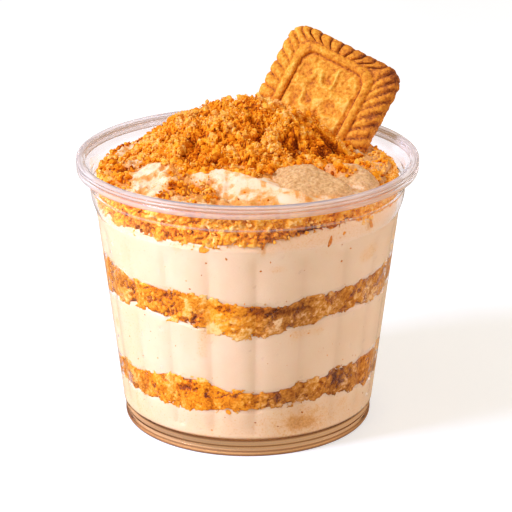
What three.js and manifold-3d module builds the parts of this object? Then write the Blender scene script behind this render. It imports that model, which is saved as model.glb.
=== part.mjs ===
// A speculoos tiramisu in a clear plastic cup: three layers of cream and three of biscuit crumbs
// seen through the wall, swirled cream and a heap of crumbs on top, and a fluted biscuit stuck in.
// Millimetres, +Z up. The origin is on the table under the middle of the cup, the front is -Y,
// and azimuths are degrees from the front, positive towards +X.

import * as THREE from "three";
import { mergeVertices } from "three/addons/utils/BufferGeometryUtils.js";
import Module from "manifold-3d";

const wasm = await Module();
wasm.setup();

// Driving dimensions of the cup
const rimRadius = 46;
const cupHeight = 74;
const rimSkirt = 3.5;
const neckRadius = 42.4;
const neckBottom = 65.6;
const shoulderRadius = 40.9;
const shoulderBottom = 59.6;
const wallFootRadius = 34.5;
const wallBottom = 5.4;
const footRadius = 34;
const floorTop = 4.7;
const wallThickness = 0.6;
const floorCorner = 1.3;

// The shallow flutes of the wall
const fluteCount = 20;
const fluteDepth = 0.45;
const fluteSharpness = 1.6;
const fluteFade = 4;
const fluteTurn = 3;
const sectorsPerFlute = 3;
const sectors = fluteCount * sectorsPerFlute;

// Room left between two pieces that touch
const gap = 0.3;

// Heights at which each layer begins on the wall, every 30 degrees of azimuth from the front
const creamTwoStart = [19.8, 22, 23.6, 22.5, 21, 22.5, 21, 20, 22, 21, 20.2, 22.8];
const crumbOneStart = [13.5, 15.4, 13.2, 14.5, 13, 14.2, 12.8, 14, 13.2, 13.8, 13, 13.2];
const crumbTwoStart = [35.2, 38.3, 39, 40.5, 38, 36.5, 37.5, 39, 38, 36.8, 38.6, 38.6];
const creamThreeStart = [45.3, 46.2, 48, 48.5, 47, 46, 47.5, 48.5, 47.5, 49.5, 48.2, 47.6];
const crumbThreeStart = [61.3, 64.2, 63.8, 63.6, 62.5, 61.5, 62.5, 63.5, 62.5, 61.8, 61.2, 60.9];
const raggedness = 0.35;
const lowerCrumbs = { heights: crumbOneStart, seed: 1 };
const middleCream = { heights: creamTwoStart, seed: 2 };
const middleCrumbs = { heights: crumbTwoStart, seed: 4 };
const upperCream = { heights: creamThreeStart, seed: 5 };
const upperCrumbs = { heights: crumbThreeStart, seed: 7 };
const upperCreamSideRows = 4;
const upperCrumbsSideRows = 3;

// Above the wall the food goes straight up, clear of the wider neck. Its edge under the rim, and the
// bed that the swirled cream lies on
const foodLimit = 40.2;
const sideTop = 68.8;
const edgeRadius = 39.8;
const edgeHeight = 69.9;
const edgeRaggedness = 0.3;
const bedRadius = 38.5;
const bedHeight = 69.2;

// The swirled cream: a broad swell, and ridges along curves drawn by the back of a spoon. Its rings
// are shares of the way out from the middle
const creamEdgeRadius = 38.3;
const creamEdgeRaggedness = 0.5;
const creamEdgeHeight = 70.9;
const creamEdgeFade = 4;
const creamFootInset = 0.5;
const creamSectors = 48;
const creamRings = [1, 0.95, 0.88, 0.81, 0.73, 0.64, 0.54, 0.4, 0.22];
const creamSwell = { x: 1, y: 16, rise: 7.2, left: 33.5, right: 30, front: 46, back: 26 };
const creamRidges = [
  { start: [-26, -13], bend: [-4, -21], end: [16, -34], rise: 3, front: 6, back: 3 },
  { start: [-31, -3], bend: [-25, -10], end: [-20, -22], rise: 2, front: 5, back: 4 },
  { start: [-20, 27], bend: [0, 38], end: [20, 29], rise: 2.2, front: 4, back: 5 },
];
const ridgeSharpness = 1.3;
const curveSteps = 24;

// Dollops along curves: the heights of their crests at the start, middle and end, and how far their
// middle reaches down to its foot in front and behind
const creamDollops = [
  { start: [21, -12], bend: [29, -9.5], end: [34, -21.5], top: [74.6, 75, 72.4], front: 10, back: 4 },
  { start: [6, -16], bend: [16, -15.5], end: [27, -27], top: [74.2, 76.8, 72.8], front: 13.5, back: 4 },
];
const dollopTip = 1.5;
const dollopFoot = 71;
const dollopEdgeShare = 0.4;
const dollopTaper = 0.7;
const dollopSide = { fall: 1.5, bulge: 0.75 };

// The heap of crumbs: how far it reaches from its centre, every 30 degrees, and its depth at its
// edge and at its peak
const heapCentre = { x: -4, y: 8 };
const heapReach = [29.5, 27, 32, 33, 29, 25, 25, 24, 26, 27, 26, 29];
const heapRaggedness = 1.2;
const heapSectors = 32;
const heapRings = [1, 0.93, 0.83, 0.7, 0.54, 0.37, 0.18];
const heapDepth = 5.6;
const heapEdge = 0.7;
const heapRoundness = 2.4;
const heapPeak = { x: 1, y: 18, spread: 25.3 };
const heapRoots = 2.5;

// Waves that cross each other on the heap, as lumps and as crumb-sized bumps, which fade at its
// edge: their height, and for both waves how often they turn along x and y and where they start
const heapWaves = [
  { height: 0.6, first: { x: 0.61, y: 0, start: 0.9 }, second: { x: 0, y: 0.53, start: 2.1 } },
  { height: 0.6, first: { x: 2.27, y: -0.98, start: 0.4 }, second: { x: 0.74, y: 2.13, start: 1.3 } },
];
const heapEdgeCalm = 6;

// Crumbs fused on the heap and on the open cream, with their smallest and largest radius
const heapCrumbs = { count: 46, smallest: 0.9, largest: 2.1, seed: 11 };
const creamCrumbs = { count: 24, smallest: 0.7, largest: 1.4, seed: 5 };
const smallCrumbShare = 1.6;
const crumbTurnSpread = 0.6;
const chunkRadius = 1.45;
const cornerPush = { least: 0.72, most: 1.22 };
const heapCrumbReach = 0.92;
const openCreamMargin = 3;
const heapClearance = 3.5;
const goldenAngle = 137.508;

// The biscuit, and how it stands: turned about +Z, leaning back, and rolled in its own plane
const biscuitWidth = 35.6;
const biscuitLength = 50;
const biscuitThickness = 7;
const biscuitCorner = 5.4;
const biscuitRoomSteps = 3;
const biscuitTop = new THREE.Vector3(28.5, 26, 96.7);
const biscuitTurn = -20;
const biscuitLean = -25;
const biscuitRoll = 20.8;
const endFlutes = 7;
const sideFlutes = 11;
const cornerFlutes = 3;
const samplesPerFlute = 3;

// The flutes on the long sides lean and bend downwards as they run in from the edge
const fluteLean = { left: 0.3, right: 1.1 };
const fluteRun = 4;
const fluteBend = 0.4;

// The frame round the field stands a little off the middle and is narrowed across
const frameShift = new THREE.Vector2(-0.4, 1.2);
const frameNarrowing = 0.08;

// Rows from the back's edge round the side to the field: inset from the edge, depth behind the
// front, how far a groove between two flutes cuts in and down there, and the corner's radius
const biscuitRows = [
  { inset: 1.8, depth: biscuitThickness, corner: 4 },
  { inset: 0.2, depth: biscuitThickness - 1.4, cutIn: 0.5, corner: 5.2 },
  { inset: 0, depth: 3.4, cutIn: 0.7, corner: 5.4 },
  { inset: 1.1, depth: 1.5, cutIn: 0.5, cutDown: 0.9, corner: 4.8 },
  { inset: 2.8, depth: 0.5, cutIn: 0.2, cutDown: 1.2, corner: 4.2 },
  { inset: 4.2, depth: 1.3, corner: 4.4 },
  { inset: 5.1, depth: 0, corner: 4.8 },
  { inset: 6.4, depth: 0.1, corner: 4.6 },
  { inset: 7.3, depth: 1.3, corner: 4.1 },
];
const fieldMiddleDepth = 0.6;

const radians = THREE.MathUtils.degToRad;

const clearPlastic = new THREE.MeshStandardMaterial({
  color: 0xf4ecec,
  roughness: 0.08,
  metalness: 0,
  transparent: true,
  opacity: 0.25,
});
const cream = new THREE.MeshStandardMaterial({ color: 0xf3e3c8, roughness: 0.55, metalness: 0 });
const crumb = new THREE.MeshStandardMaterial({ color: 0xd88a35, roughness: 0.9, metalness: 0 });
const baked = new THREE.MeshStandardMaterial({ color: 0xde9245, roughness: 0.8, metalness: 0 });

// Repeatable random numbers from 0 to 1
function seededRandom(seed) {
  let state = seed;
  return () => {
    state = (state * 16807) % 2147483647;
    return state / 2147483647;
  };
}

// A smooth closed curve through values spaced evenly round the circle
function around(values, azimuth) {
  const count = values.length;
  const place = (((azimuth / 360) % 1) + 1) % 1 * count;
  const index = Math.floor(place);
  const t = place - index;
  const [a, b, c, d] = [-1, 0, 1, 2].map((step) => values[(index + step + count) % count]);
  const slopeB = (c - a) / 2;
  const slopeC = (d - b) / 2;
  const rise = c - b;
  return b + t * (slopeB + t * (3 * rise - 2 * slopeB - slopeC + t * (slopeB + slopeC - 2 * rise)));
}

function mean(values) {
  return values.reduce((sum, value) => sum + value, 0) / values.length;
}

// Small unevenness of a boundary round the circle, from about -1 to 1
function ragged(azimuth, seed) {
  const waves = [7, 11, 17, 23];
  return waves.reduce((sum, turns, i) => sum + Math.sin(radians(azimuth * turns) + seed * (i + 2)), 0) / 2;
}

function easeInOut(t) {
  const s = THREE.MathUtils.clamp(t, 0, 1);
  return s * s * (3 - 2 * s);
}

// The wall's outer radius at a height, without its flutes
function wallRadius(z) {
  if (z < shoulderBottom) {
    const share = (z - wallBottom) / (shoulderBottom - wallBottom);
    return THREE.MathUtils.lerp(wallFootRadius, shoulderRadius, share);
  }
  const share = Math.min(1, (z - shoulderBottom) / (neckBottom - shoulderBottom));
  return THREE.MathUtils.lerp(shoulderRadius, neckRadius, Math.sin((share * Math.PI) / 2));
}

// How far the fluted wall stands inside that radius: nothing on a flute's crest, most in its groove
function fluteInset(azimuth, z) {
  const fade = easeInOut((z - wallBottom) / fluteFade) * easeInOut((shoulderBottom - z) / fluteFade);
  const crest = Math.abs(Math.sin(radians(((azimuth - fluteTurn) * fluteCount) / 2)));
  return fluteDepth * fade * (1 - crest) ** fluteSharpness;
}

// A point at an azimuth, radius and height
function polar(azimuth, radius, z) {
  return new THREE.Vector3(radius * Math.sin(radians(azimuth)), -radius * Math.cos(radians(azimuth)), z);
}

// Only the positions of a geometry, with shared corners merged
function bare(geometry) {
  geometry.deleteAttribute("normal");
  geometry.deleteAttribute("uv");
  return mergeVertices(geometry, 1e-4);
}

// A turned solid: the profile runs from the axis below, outwards and up, and back to the axis, and
// place(row, azimuth) gives each corner's true position
function turned(rows, count, place) {
  const profile = Array.from({ length: rows }, (_, row) => new THREE.Vector2(1, row));
  const geometry = new THREE.LatheGeometry(profile, count);
  const position = geometry.getAttribute("position");
  for (let i = 0; i < position.count; i++) {
    const azimuth = ((Math.floor(i / rows) % count) * 360) / count;
    const point = place(i % rows, azimuth);
    position.setXYZ(i, point.x, point.y, point.z);
  }
  return bare(geometry);
}

function solidOf(geometry) {
  return new wasm.Manifold(
    new wasm.Mesh({
      numProp: 3,
      vertProperties: geometry.getAttribute("position").array,
      triVerts: new Uint32Array(geometry.index.array),
    }),
  );
}

// The geometry of a solid, without the loose scraps that a cut may leave
function geometryOf(solid) {
  const bodies = solid.decompose().sort((a, b) => b.volume() - a.volume());
  const mesh = bodies[0].getMesh();
  const geometry = new THREE.BufferGeometry();
  geometry.setAttribute("position", new THREE.BufferAttribute(new Float32Array(mesh.vertProperties), 3));
  geometry.setIndex(new THREE.BufferAttribute(new Uint32Array(mesh.triVerts), 1));
  return geometry;
}

// The cup: a ringed foot with a recessed underside, a fluted wall, a shoulder, a neck and a rim
// that turns outwards and down into a skirt
function cupGeometry() {
  const skirtBottom = cupHeight - rimSkirt;
  const wallLevels = [wallBottom, wallBottom + fluteFade, shoulderBottom - fluteFade, shoulderBottom];
  const shoulderLevels = [0.4, 1].map((t) => THREE.MathUtils.lerp(shoulderBottom, neckBottom, t));
  const levels = [...wallLevels, ...shoulderLevels];
  const foot = [
    [0, floorTop - wallThickness],
    [footRadius - 2.6, floorTop - wallThickness],
    [footRadius - 1.9, 0.6],
    [footRadius - 1.7, 0],
    [footRadius - 0.6, 0],
    [footRadius, 0.6],
    [footRadius, 1.8],
    [footRadius - 0.5, 2.4],
    [footRadius + 0.1, 3.2],
    [footRadius + 0.1, 4],
    [footRadius - 0.3, 4.8],
  ];
  const rim = [
    [neckRadius, skirtBottom - 0.9],
    [neckRadius + 0.7, skirtBottom + 0.6],
    [neckRadius + 2, cupHeight - 0.8],
    [rimRadius - 0.7, cupHeight - 0.8],
    [rimRadius - 0.6, skirtBottom],
    [rimRadius, skirtBottom + 0.3],
    [rimRadius, cupHeight - 0.6],
    [rimRadius - 0.5, cupHeight],
    [neckRadius + 1.9, cupHeight],
    [neckRadius + 1.2, cupHeight - 0.6],
    [neckRadius - 0.1, skirtBottom + 0.3],
    [neckRadius - wallThickness, skirtBottom - 0.9],
  ];
  const floor = [
    [wallFootRadius - wallThickness - floorCorner, floorTop],
    [0, floorTop],
  ];
  const wall = (inset) => (z) => ({ z, inset, fluted: true });
  const plain = ([radius, z]) => ({ z, radius });
  const rows = [
    ...foot.map(plain),
    ...levels.map(wall(0)),
    ...rim.map(plain),
    ...[...levels].reverse().map(wall(wallThickness)),
    ...floor.map(plain),
  ];
  return turned(rows.length, sectors, (row, azimuth) => {
    const { z, radius, inset, fluted } = rows[row];
    if (!fluted) return polar(azimuth, radius, z);
    return polar(azimuth, wallRadius(z) - inset - fluteInset(azimuth, z), z);
  });
}

// The radius that food fills at a height
function foodRadius(azimuth, z) {
  return Math.min(foodLimit, wallRadius(z) - fluteInset(azimuth, z) - wallThickness - gap);
}

// A layer between two boundaries, its side divided so that it follows the wall
function layerGeometry(lower, upper, sideRows) {
  const rows = sideRows + 3;
  return turned(rows, sectors, (row, azimuth) => {
    if (row === 0) return polar(azimuth, 0, mean(lower.heights) + gap / 2);
    if (row === rows - 1) return polar(azimuth, 0, mean(upper.heights) - gap / 2);
    const low = boundary(lower, azimuth) + gap / 2;
    const high = boundary(upper, azimuth) - gap / 2;
    const z = THREE.MathUtils.lerp(low, high, (row - 1) / sideRows);
    return polar(azimuth, foodRadius(azimuth, z), z);
  });
}

function boundary({ heights, seed }, azimuth) {
  return around(heights, azimuth) + raggedness * ragged(azimuth, seed);
}

// The lowest cream, which fills the rounded corner of the floor
function creamOneGeometry(upper) {
  const floorHeight = floorTop + gap;
  const cornerRadius = wallFootRadius - wallThickness - floorCorner - gap;
  const cornerTop = wallBottom + gap;
  return turned(5, sectors, (row, azimuth) => {
    if (row === 0) return polar(azimuth, 0, floorHeight);
    if (row === 1) return polar(azimuth, cornerRadius, floorHeight);
    if (row === 2) return polar(azimuth, foodRadius(azimuth, cornerTop), cornerTop);
    if (row === 4) return polar(azimuth, 0, mean(upper.heights) - gap / 2);
    const z = boundary(upper, azimuth) - gap / 2;
    return polar(azimuth, foodRadius(azimuth, z), z);
  });
}

// The upper crumbs: their side goes straight up, and their top is a shallow dish
function crumbThreeGeometry(lower) {
  const sideRows = upperCrumbsSideRows;
  return turned(sideRows + 5, sectors, (row, azimuth) => {
    if (row === 0) return polar(azimuth, 0, mean(lower.heights) + gap / 2);
    if (row <= sideRows + 1) {
      const low = boundary(lower, azimuth) + gap / 2;
      const z = THREE.MathUtils.lerp(low, sideTop, (row - 1) / sideRows);
      return polar(azimuth, foodRadius(azimuth, z), z);
    }
    if (row === sideRows + 2) {
      return polar(azimuth, edgeRadius, edgeHeight + edgeRaggedness * ragged(azimuth, 9));
    }
    if (row === sideRows + 3) return polar(azimuth, bedRadius + gap, bedHeight);
    return polar(azimuth, 0, bedHeight);
  });
}

// The distance from a place to a curve, the share along the curve of its nearest point, and how far
// the cream's slope reaches on that side of it
function nearestOn({ start, bend, end, front, back }, x, y) {
  const curve = new THREE.QuadraticBezierCurve(
    new THREE.Vector2(...start),
    new THREE.Vector2(...bend),
    new THREE.Vector2(...end),
  );
  const place = new THREE.Vector2(x, y);
  const points = curve.getPoints(curveSteps);
  const distances = points.map((point) => point.distanceTo(place));
  const nearest = distances.indexOf(Math.min(...distances));
  return {
    distance: distances[nearest],
    share: nearest / curveSteps,
    reach: y < points[nearest].y ? front : back,
  };
}

// How much a ridge lifts the cream at a place: most along its curve, with a long slope in front
function ridgeLift(ridge, x, y) {
  const { distance, reach } = nearestOn(ridge, x, y);
  return ridge.rise * Math.exp(-((distance / reach) ** ridgeSharpness));
}

// The height of a dollop of cream with a crisp crest, or its foot's height beside it
function dollopHeight(dollop, x, y, inside) {
  const { distance, share, reach } = nearestOn(dollop, x, y);
  const width = THREE.MathUtils.lerp(dollopTip, reach, Math.sin(Math.PI * share) ** dollopTaper);
  const [start, middle, end] = dollop.top;
  const top = share < 0.5
    ? THREE.MathUtils.lerp(start, middle, 2 * share)
    : THREE.MathUtils.lerp(middle, end, 2 * share - 1);
  const slope = Math.max(0, 1 - (distance / width) ** dollopSide.fall) ** dollopSide.bulge;
  const sunk = THREE.MathUtils.lerp(dollopEdgeShare, 1, inside);
  return dollopFoot + (top - dollopFoot) * slope * sunk;
}

// The height of the cream's upper surface
function creamHeight(x, y) {
  const swell = creamSwell;
  const across = (x - swell.x) / (x < swell.x ? swell.left : swell.right);
  const along = (y - swell.y) / (y < swell.y ? swell.front : swell.back);
  const rise = swell.rise * Math.max(0, 1 - across ** 2 - along ** 2);
  const lift = creamRidges.reduce((sum, ridge) => sum + ridgeLift(ridge, x, y), 0);
  const inside = easeInOut((creamEdgeRadius + creamEdgeRaggedness - Math.hypot(x, y)) / creamEdgeFade);
  const dollops = creamDollops.map((dollop) => dollopHeight(dollop, x, y, inside));
  return Math.max(creamEdgeHeight + (rise + lift) * inside, ...dollops);
}

// The swirled cream, lying on its bed of crumbs
function creamTopGeometry(lifted) {
  const bottom = bedHeight + gap;
  return turned(creamRings.length + 3, creamSectors, (row, azimuth) => {
    if (row === 0) return polar(azimuth, 0, bottom);
    const reach = creamEdgeRadius + creamEdgeRaggedness * ragged(azimuth, 3) - gap;
    if (row === 1) return polar(azimuth, reach - creamFootInset, bottom);
    const point = polar(azimuth, (creamRings[row - 2] ?? 0) * reach, 0);
    point.z = creamHeight(point.x, point.y) + lifted;
    return point;
  });
}

// How deep the crumbs lie on the cream, by the share of the heap's reach
function crumbDepth(x, y, share) {
  const fromPeak = Math.hypot(x - heapPeak.x, y - heapPeak.y) / heapPeak.spread;
  return heapEdge + heapDepth * (1 - share ** heapRoundness) * Math.exp(-(fromPeak ** 2));
}

// Lumps and crumb-sized bumps of the heap
function heapUnevenness(x, y) {
  const wave = (turns) => Math.sin(x * turns.x + y * turns.y + turns.start);
  const heights = heapWaves.map(({ height, first, second }) => height * wave(first) * wave(second));
  return heights.reduce((sum, height) => sum + height, 0);
}

function heapPlace(azimuth, share) {
  const reach = around(heapReach, azimuth) + heapRaggedness * ragged(azimuth, 6);
  const point = polar(azimuth, share * reach, 0);
  return point.add(new THREE.Vector3(heapCentre.x, heapCentre.y, 0));
}

function heapSurface(azimuth, share) {
  const point = heapPlace(azimuth, share);
  const inner = 1 - share ** heapEdgeCalm;
  point.z =
    creamHeight(point.x, point.y) +
    crumbDepth(point.x, point.y, share) +
    inner * heapUnevenness(point.x, point.y);
  return point;
}

// The heap before the cream below it is cut away
function heapGeometry() {
  return turned(heapRings.length + 3, heapSectors, (row, azimuth) => {
    const share = row < 2 ? row : (heapRings[row - 2] ?? 0);
    if (row >= 2) return heapSurface(azimuth, share);
    const point = heapPlace(azimuth, share);
    point.z = creamHeight(point.x, point.y) - heapRoots;
    return point;
  });
}

// One crumb: few-sided, with each corner pushed in or out, turned at random
function crumbGeometry(radius, random) {
  const Polyhedron = radius > chunkRadius ? THREE.IcosahedronGeometry : THREE.OctahedronGeometry;
  const geometry = bare(new Polyhedron(radius, 0));
  const position = geometry.getAttribute("position");
  for (let i = 0; i < position.count; i++) {
    const push = THREE.MathUtils.lerp(cornerPush.least, cornerPush.most, random());
    position.setXYZ(i, position.getX(i) * push, position.getY(i) * push, position.getZ(i) * push);
  }
  const [x, y, z] = [random(), random(), random()].map((share) => share * 2 * Math.PI);
  return geometry.applyMatrix4(new THREE.Matrix4().makeRotationFromEuler(new THREE.Euler(x, y, z)));
}

// Crumbs spread evenly by the golden angle, with place(azimuth, share) giving each one's foot, or
// nothing where no crumb lies
function scattered({ count, smallest, largest, seed }, place) {
  const random = seededRandom(seed);
  const crumbs = [];
  for (let i = 0; i < count; i++) {
    const radius = THREE.MathUtils.lerp(smallest, largest, random() ** smallCrumbShare);
    const azimuth = goldenAngle * (i + crumbTurnSpread * random());
    const foot = place(azimuth, Math.sqrt((i + random()) / count));
    const geometry = crumbGeometry(radius, random);
    if (foot) crumbs.push(solidOf(geometry.translate(foot.x, foot.y, foot.z + radius / 3)));
  }
  return crumbs;
}

function onHeap(azimuth, share) {
  return heapSurface(azimuth, heapCrumbReach * share);
}

// A place on the cream clear of the heap
function onOpenCream(azimuth, share) {
  const point = polar(azimuth, (creamEdgeRadius - openCreamMargin) * Math.sqrt(share), 0);
  const outward = point.clone().sub(new THREE.Vector3(heapCentre.x, heapCentre.y, 0));
  const heading = THREE.MathUtils.radToDeg(Math.atan2(outward.x, -outward.y));
  if (outward.length() < around(heapReach, heading) + heapClearance) return undefined;
  point.z = creamHeight(point.x, point.y);
  return point;
}

// Corners of a rounded rectangle, the same number on each side and round each corner
function roundedRectangle(width, length, radius) {
  const outline = [];
  const side = (from, to, count) => {
    for (let i = 0; i < count; i++) outline.push(from.clone().lerp(to, i / count));
  };
  const corner = (x, z, start, count) => {
    for (let i = 0; i < count; i++) {
      const angle = radians(start + (90 * i) / count);
      outline.push(new THREE.Vector2(x + radius * Math.cos(angle), z + radius * Math.sin(angle)));
    }
  };
  const [x, z] = [width / 2, length / 2];
  const [innerX, innerZ] = [x - radius, z - radius];
  const [endCount, sideCount, cornerCount] = [endFlutes, sideFlutes, cornerFlutes].map(
    (flutes) => flutes * samplesPerFlute,
  );
  side(new THREE.Vector2(x, -innerZ), new THREE.Vector2(x, innerZ), sideCount);
  corner(innerX, innerZ, 0, cornerCount);
  side(new THREE.Vector2(innerX, z), new THREE.Vector2(-innerX, z), endCount);
  corner(-innerX, innerZ, 90, cornerCount);
  side(new THREE.Vector2(-x, innerZ), new THREE.Vector2(-x, -innerZ), sideCount);
  corner(-innerX, -innerZ, 180, cornerCount);
  side(new THREE.Vector2(-innerX, -z), new THREE.Vector2(innerX, -z), endCount);
  corner(innerX, -innerZ, 270, cornerCount);
  return outline;
}

// The point at a fractional place in a closed list of points
function pointAt(points, place) {
  const index = Math.floor(place);
  const [before, after] = [0, 1].map((step) => points[(index + step + points.length) % points.length]);
  return before.clone().lerp(after, place - index);
}

// How many samples a flute has moved along the outline where it has run in by an inset
function fluteShift(edgePoint, inset) {
  const onSide = Math.max(0, (Math.abs(edgePoint.x) - biscuitWidth / 2) / biscuitCorner + 1);
  const lean = edgePoint.x > 0 ? -fluteLean.right : fluteLean.left;
  const run = Math.min(inset, fluteRun);
  const pitch = (biscuitLength - 2 * biscuitCorner) / sideFlutes / samplesPerFlute;
  return (onSide * lean * run * (run / fluteRun) ** fluteBend) / pitch;
}

// One row of the biscuit, with every groove's point cut in and down
function biscuitRing({ inset, depth, cutIn = 0, cutDown = 0, corner }) {
  const outline = (shrink, radius) =>
    roundedRectangle(biscuitWidth - 2 * shrink, biscuitLength - 2 * shrink, radius);
  const plain = outline(inset, corner);
  const cut = outline(inset + cutIn, corner - cutIn);
  const framed = depth < biscuitThickness / 2 ? easeInOut((inset - 1) / fluteRun) : 0;
  return outline(0, biscuitCorner).map((edgePoint, i) => {
    const inGroove = i % samplesPerFlute === 0;
    const place = pointAt(inGroove ? cut : plain, i + fluteShift(edgePoint, inset));
    place.x *= 1 - frameNarrowing * framed;
    place.addScaledVector(frameShift, framed);
    return new THREE.Vector3(place.x, depth + (inGroove ? cutDown : 0), place.y);
  });
}

// The biscuit: fluted edge, a raised frame round a sunk field, plain flat back. It is made upright,
// facing -Y, with the middle of its upper edge at the origin
function biscuitGeometry() {
  const back = [new THREE.Vector3(0, biscuitThickness, 0)];
  const field = [new THREE.Vector3(frameShift.x, fieldMiddleDepth, frameShift.y)];
  const rings = [back, ...biscuitRows.map(biscuitRing), field];
  return bare(skinned(rings)).translate(0, -biscuitThickness / 2, -biscuitLength / 2);
}

// A closed surface over rings that all run the same way, the first and last being one point each
function skinned(rings) {
  const points = rings.flat();
  const faces = [];
  let start = 0;
  rings.slice(1).forEach((upper, i) => {
    const lower = rings[i];
    const next = start + lower.length;
    const count = Math.max(lower.length, upper.length);
    for (let j = 0; j < count; j++) {
      const k = (j + 1) % count;
      if (lower.length > 1) faces.push(start + j, start + k, next + (j % upper.length));
      if (upper.length > 1) faces.push(start + (k % lower.length), next + k, next + j);
    }
    start = next;
  });
  const geometry = new THREE.BufferGeometry().setFromPoints(points);
  return geometry.setIndex(faces);
}

// The room that the biscuit takes in the food
function biscuitRoomGeometry() {
  const [x, z] = [biscuitWidth / 2 + gap, biscuitLength / 2 + gap];
  const corner = biscuitCorner;
  const outline = new THREE.Shape();
  outline.absarc(x - corner, z - corner, corner, 0, radians(90));
  outline.absarc(corner - x, z - corner, corner, radians(90), radians(180));
  outline.absarc(corner - x, corner - z, corner, radians(180), radians(270));
  outline.absarc(x - corner, corner - z, corner, radians(270), radians(360));
  const depth = biscuitThickness + 2 * gap;
  const settings = { depth, bevelEnabled: false, curveSegments: biscuitRoomSteps };
  const geometry = new THREE.ExtrudeGeometry(outline, settings);
  geometry.rotateX(Math.PI / 2);
  return bare(geometry).translate(0, depth / 2, -biscuitLength / 2);
}

const biscuitPlace = new THREE.Matrix4().compose(
  biscuitTop,
  new THREE.Quaternion().setFromEuler(
    new THREE.Euler(radians(biscuitLean), radians(biscuitRoll), radians(biscuitTurn), "ZXY"),
  ),
  new THREE.Vector3(1, 1, 1),
);

const biscuitRoom = solidOf(biscuitRoomGeometry().applyMatrix4(biscuitPlace));
const creamBelowHeap = solidOf(creamTopGeometry(gap));
const creamThree = solidOf(layerGeometry(upperCream, upperCrumbs, upperCreamSideRows));
const crumbThree = solidOf(crumbThreeGeometry(upperCrumbs));
const creamTop = wasm.Manifold.union([
  solidOf(creamTopGeometry(0)),
  ...scattered(creamCrumbs, onOpenCream),
]);
const heap = wasm.Manifold.union([solidOf(heapGeometry()), ...scattered(heapCrumbs, onHeap)]);

const tiramisu = new THREE.Group();

function addMesh(name, geometry, material) {
  const mesh = new THREE.Mesh(geometry, material);
  mesh.name = name;
  tiramisu.add(mesh);
}

addMesh("cup", cupGeometry(), clearPlastic);
addMesh("cream_1", creamOneGeometry(lowerCrumbs), cream);
addMesh("crumb_1", layerGeometry(lowerCrumbs, middleCream, 1), crumb);
addMesh("cream_2", layerGeometry(middleCream, middleCrumbs, 1), cream);
addMesh("crumb_2", layerGeometry(middleCrumbs, upperCream, 1), crumb);
addMesh("cream_3", geometryOf(creamThree.subtract(biscuitRoom)), cream);
addMesh("crumb_3", geometryOf(crumbThree.subtract(biscuitRoom)), crumb);
addMesh("cream_top", geometryOf(creamTop.subtract(biscuitRoom)), cream);
addMesh("crumb_mound", geometryOf(heap.subtract(creamBelowHeap).subtract(biscuitRoom)), crumb);
addMesh("biscuit", biscuitGeometry().applyMatrix4(biscuitPlace), baked);

export default tiramisu;
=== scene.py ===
# A speculoos tiramisu in a clear plastic cup: bands of cream and biscuit crumbs seen through the
# wall, swirled cream and a heap of crumbs on top, and a fluted biscuit stuck in.
# Shapes are worked out in millimetres, +Z up, with the front at -Y. Azimuths are degrees from the
# front, positive towards +X. add_piece turns millimetres into Blender's metres.

import itertools
import math

import bmesh
import bpy
import numpy as np
from mathutils import Matrix, Vector


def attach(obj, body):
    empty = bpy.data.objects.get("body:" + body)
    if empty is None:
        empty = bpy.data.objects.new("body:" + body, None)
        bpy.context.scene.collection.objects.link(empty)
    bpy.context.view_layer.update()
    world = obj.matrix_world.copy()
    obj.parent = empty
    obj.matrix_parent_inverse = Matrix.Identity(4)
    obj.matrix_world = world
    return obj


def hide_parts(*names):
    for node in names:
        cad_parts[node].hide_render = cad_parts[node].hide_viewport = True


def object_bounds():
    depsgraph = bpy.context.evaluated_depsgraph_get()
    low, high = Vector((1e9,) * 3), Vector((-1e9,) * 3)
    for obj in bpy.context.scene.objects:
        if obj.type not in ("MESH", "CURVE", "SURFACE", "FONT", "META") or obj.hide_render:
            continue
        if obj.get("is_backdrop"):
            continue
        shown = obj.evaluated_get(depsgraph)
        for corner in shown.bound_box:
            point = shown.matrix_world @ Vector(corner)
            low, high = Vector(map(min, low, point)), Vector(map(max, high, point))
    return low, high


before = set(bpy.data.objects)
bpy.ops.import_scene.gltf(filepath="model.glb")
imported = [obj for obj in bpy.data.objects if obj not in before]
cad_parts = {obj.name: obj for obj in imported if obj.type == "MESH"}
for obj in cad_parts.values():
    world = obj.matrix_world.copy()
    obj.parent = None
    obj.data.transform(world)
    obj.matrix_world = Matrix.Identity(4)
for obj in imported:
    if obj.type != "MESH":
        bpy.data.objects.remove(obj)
cad_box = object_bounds()

MM = 0.001

# The cup
RIM_RADIUS = 46
CUP_HEIGHT = 74
RIM_SKIRT = 3.5
NECK_RADIUS = 42.4
NECK_BOTTOM = 65.6
BEAD_HEIGHT = 66.5
SHOULDER_RADIUS = 40.9
SHOULDER_BOTTOM = 59.6
WALL_FOOT_RADIUS = 34.5
WALL_BOTTOM = 5.4
FOOT_RADIUS = 34
FLOOR_TOP = 4.7
WALL_THICKNESS = 0.6
FLUTE_COUNT = 20
FLUTE_DEPTH = 0.45
FLUTE_FADE = 4
FLUTE_TURN = 3
SKIRT_BOTTOM = CUP_HEIGHT - RIM_SKIRT
CUP_SECTORS = 280

# Painted dark lines at the grooves round the rim's skirt: height above the skirt's edge, half the height and
# depth of painted shade
SKIRT_GROOVES = [(0.05, 0.2, 0.7), (1.67, 0.3, 1), (2.68, 0.16, 0.8)]

# How far food reaches into the wall, so that no air shows between them
CREAM_INTO_WALL = 0.05
CRUMB_INTO_WALL = 0.1
SPECK_INTO_WALL = 0.15
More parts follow.
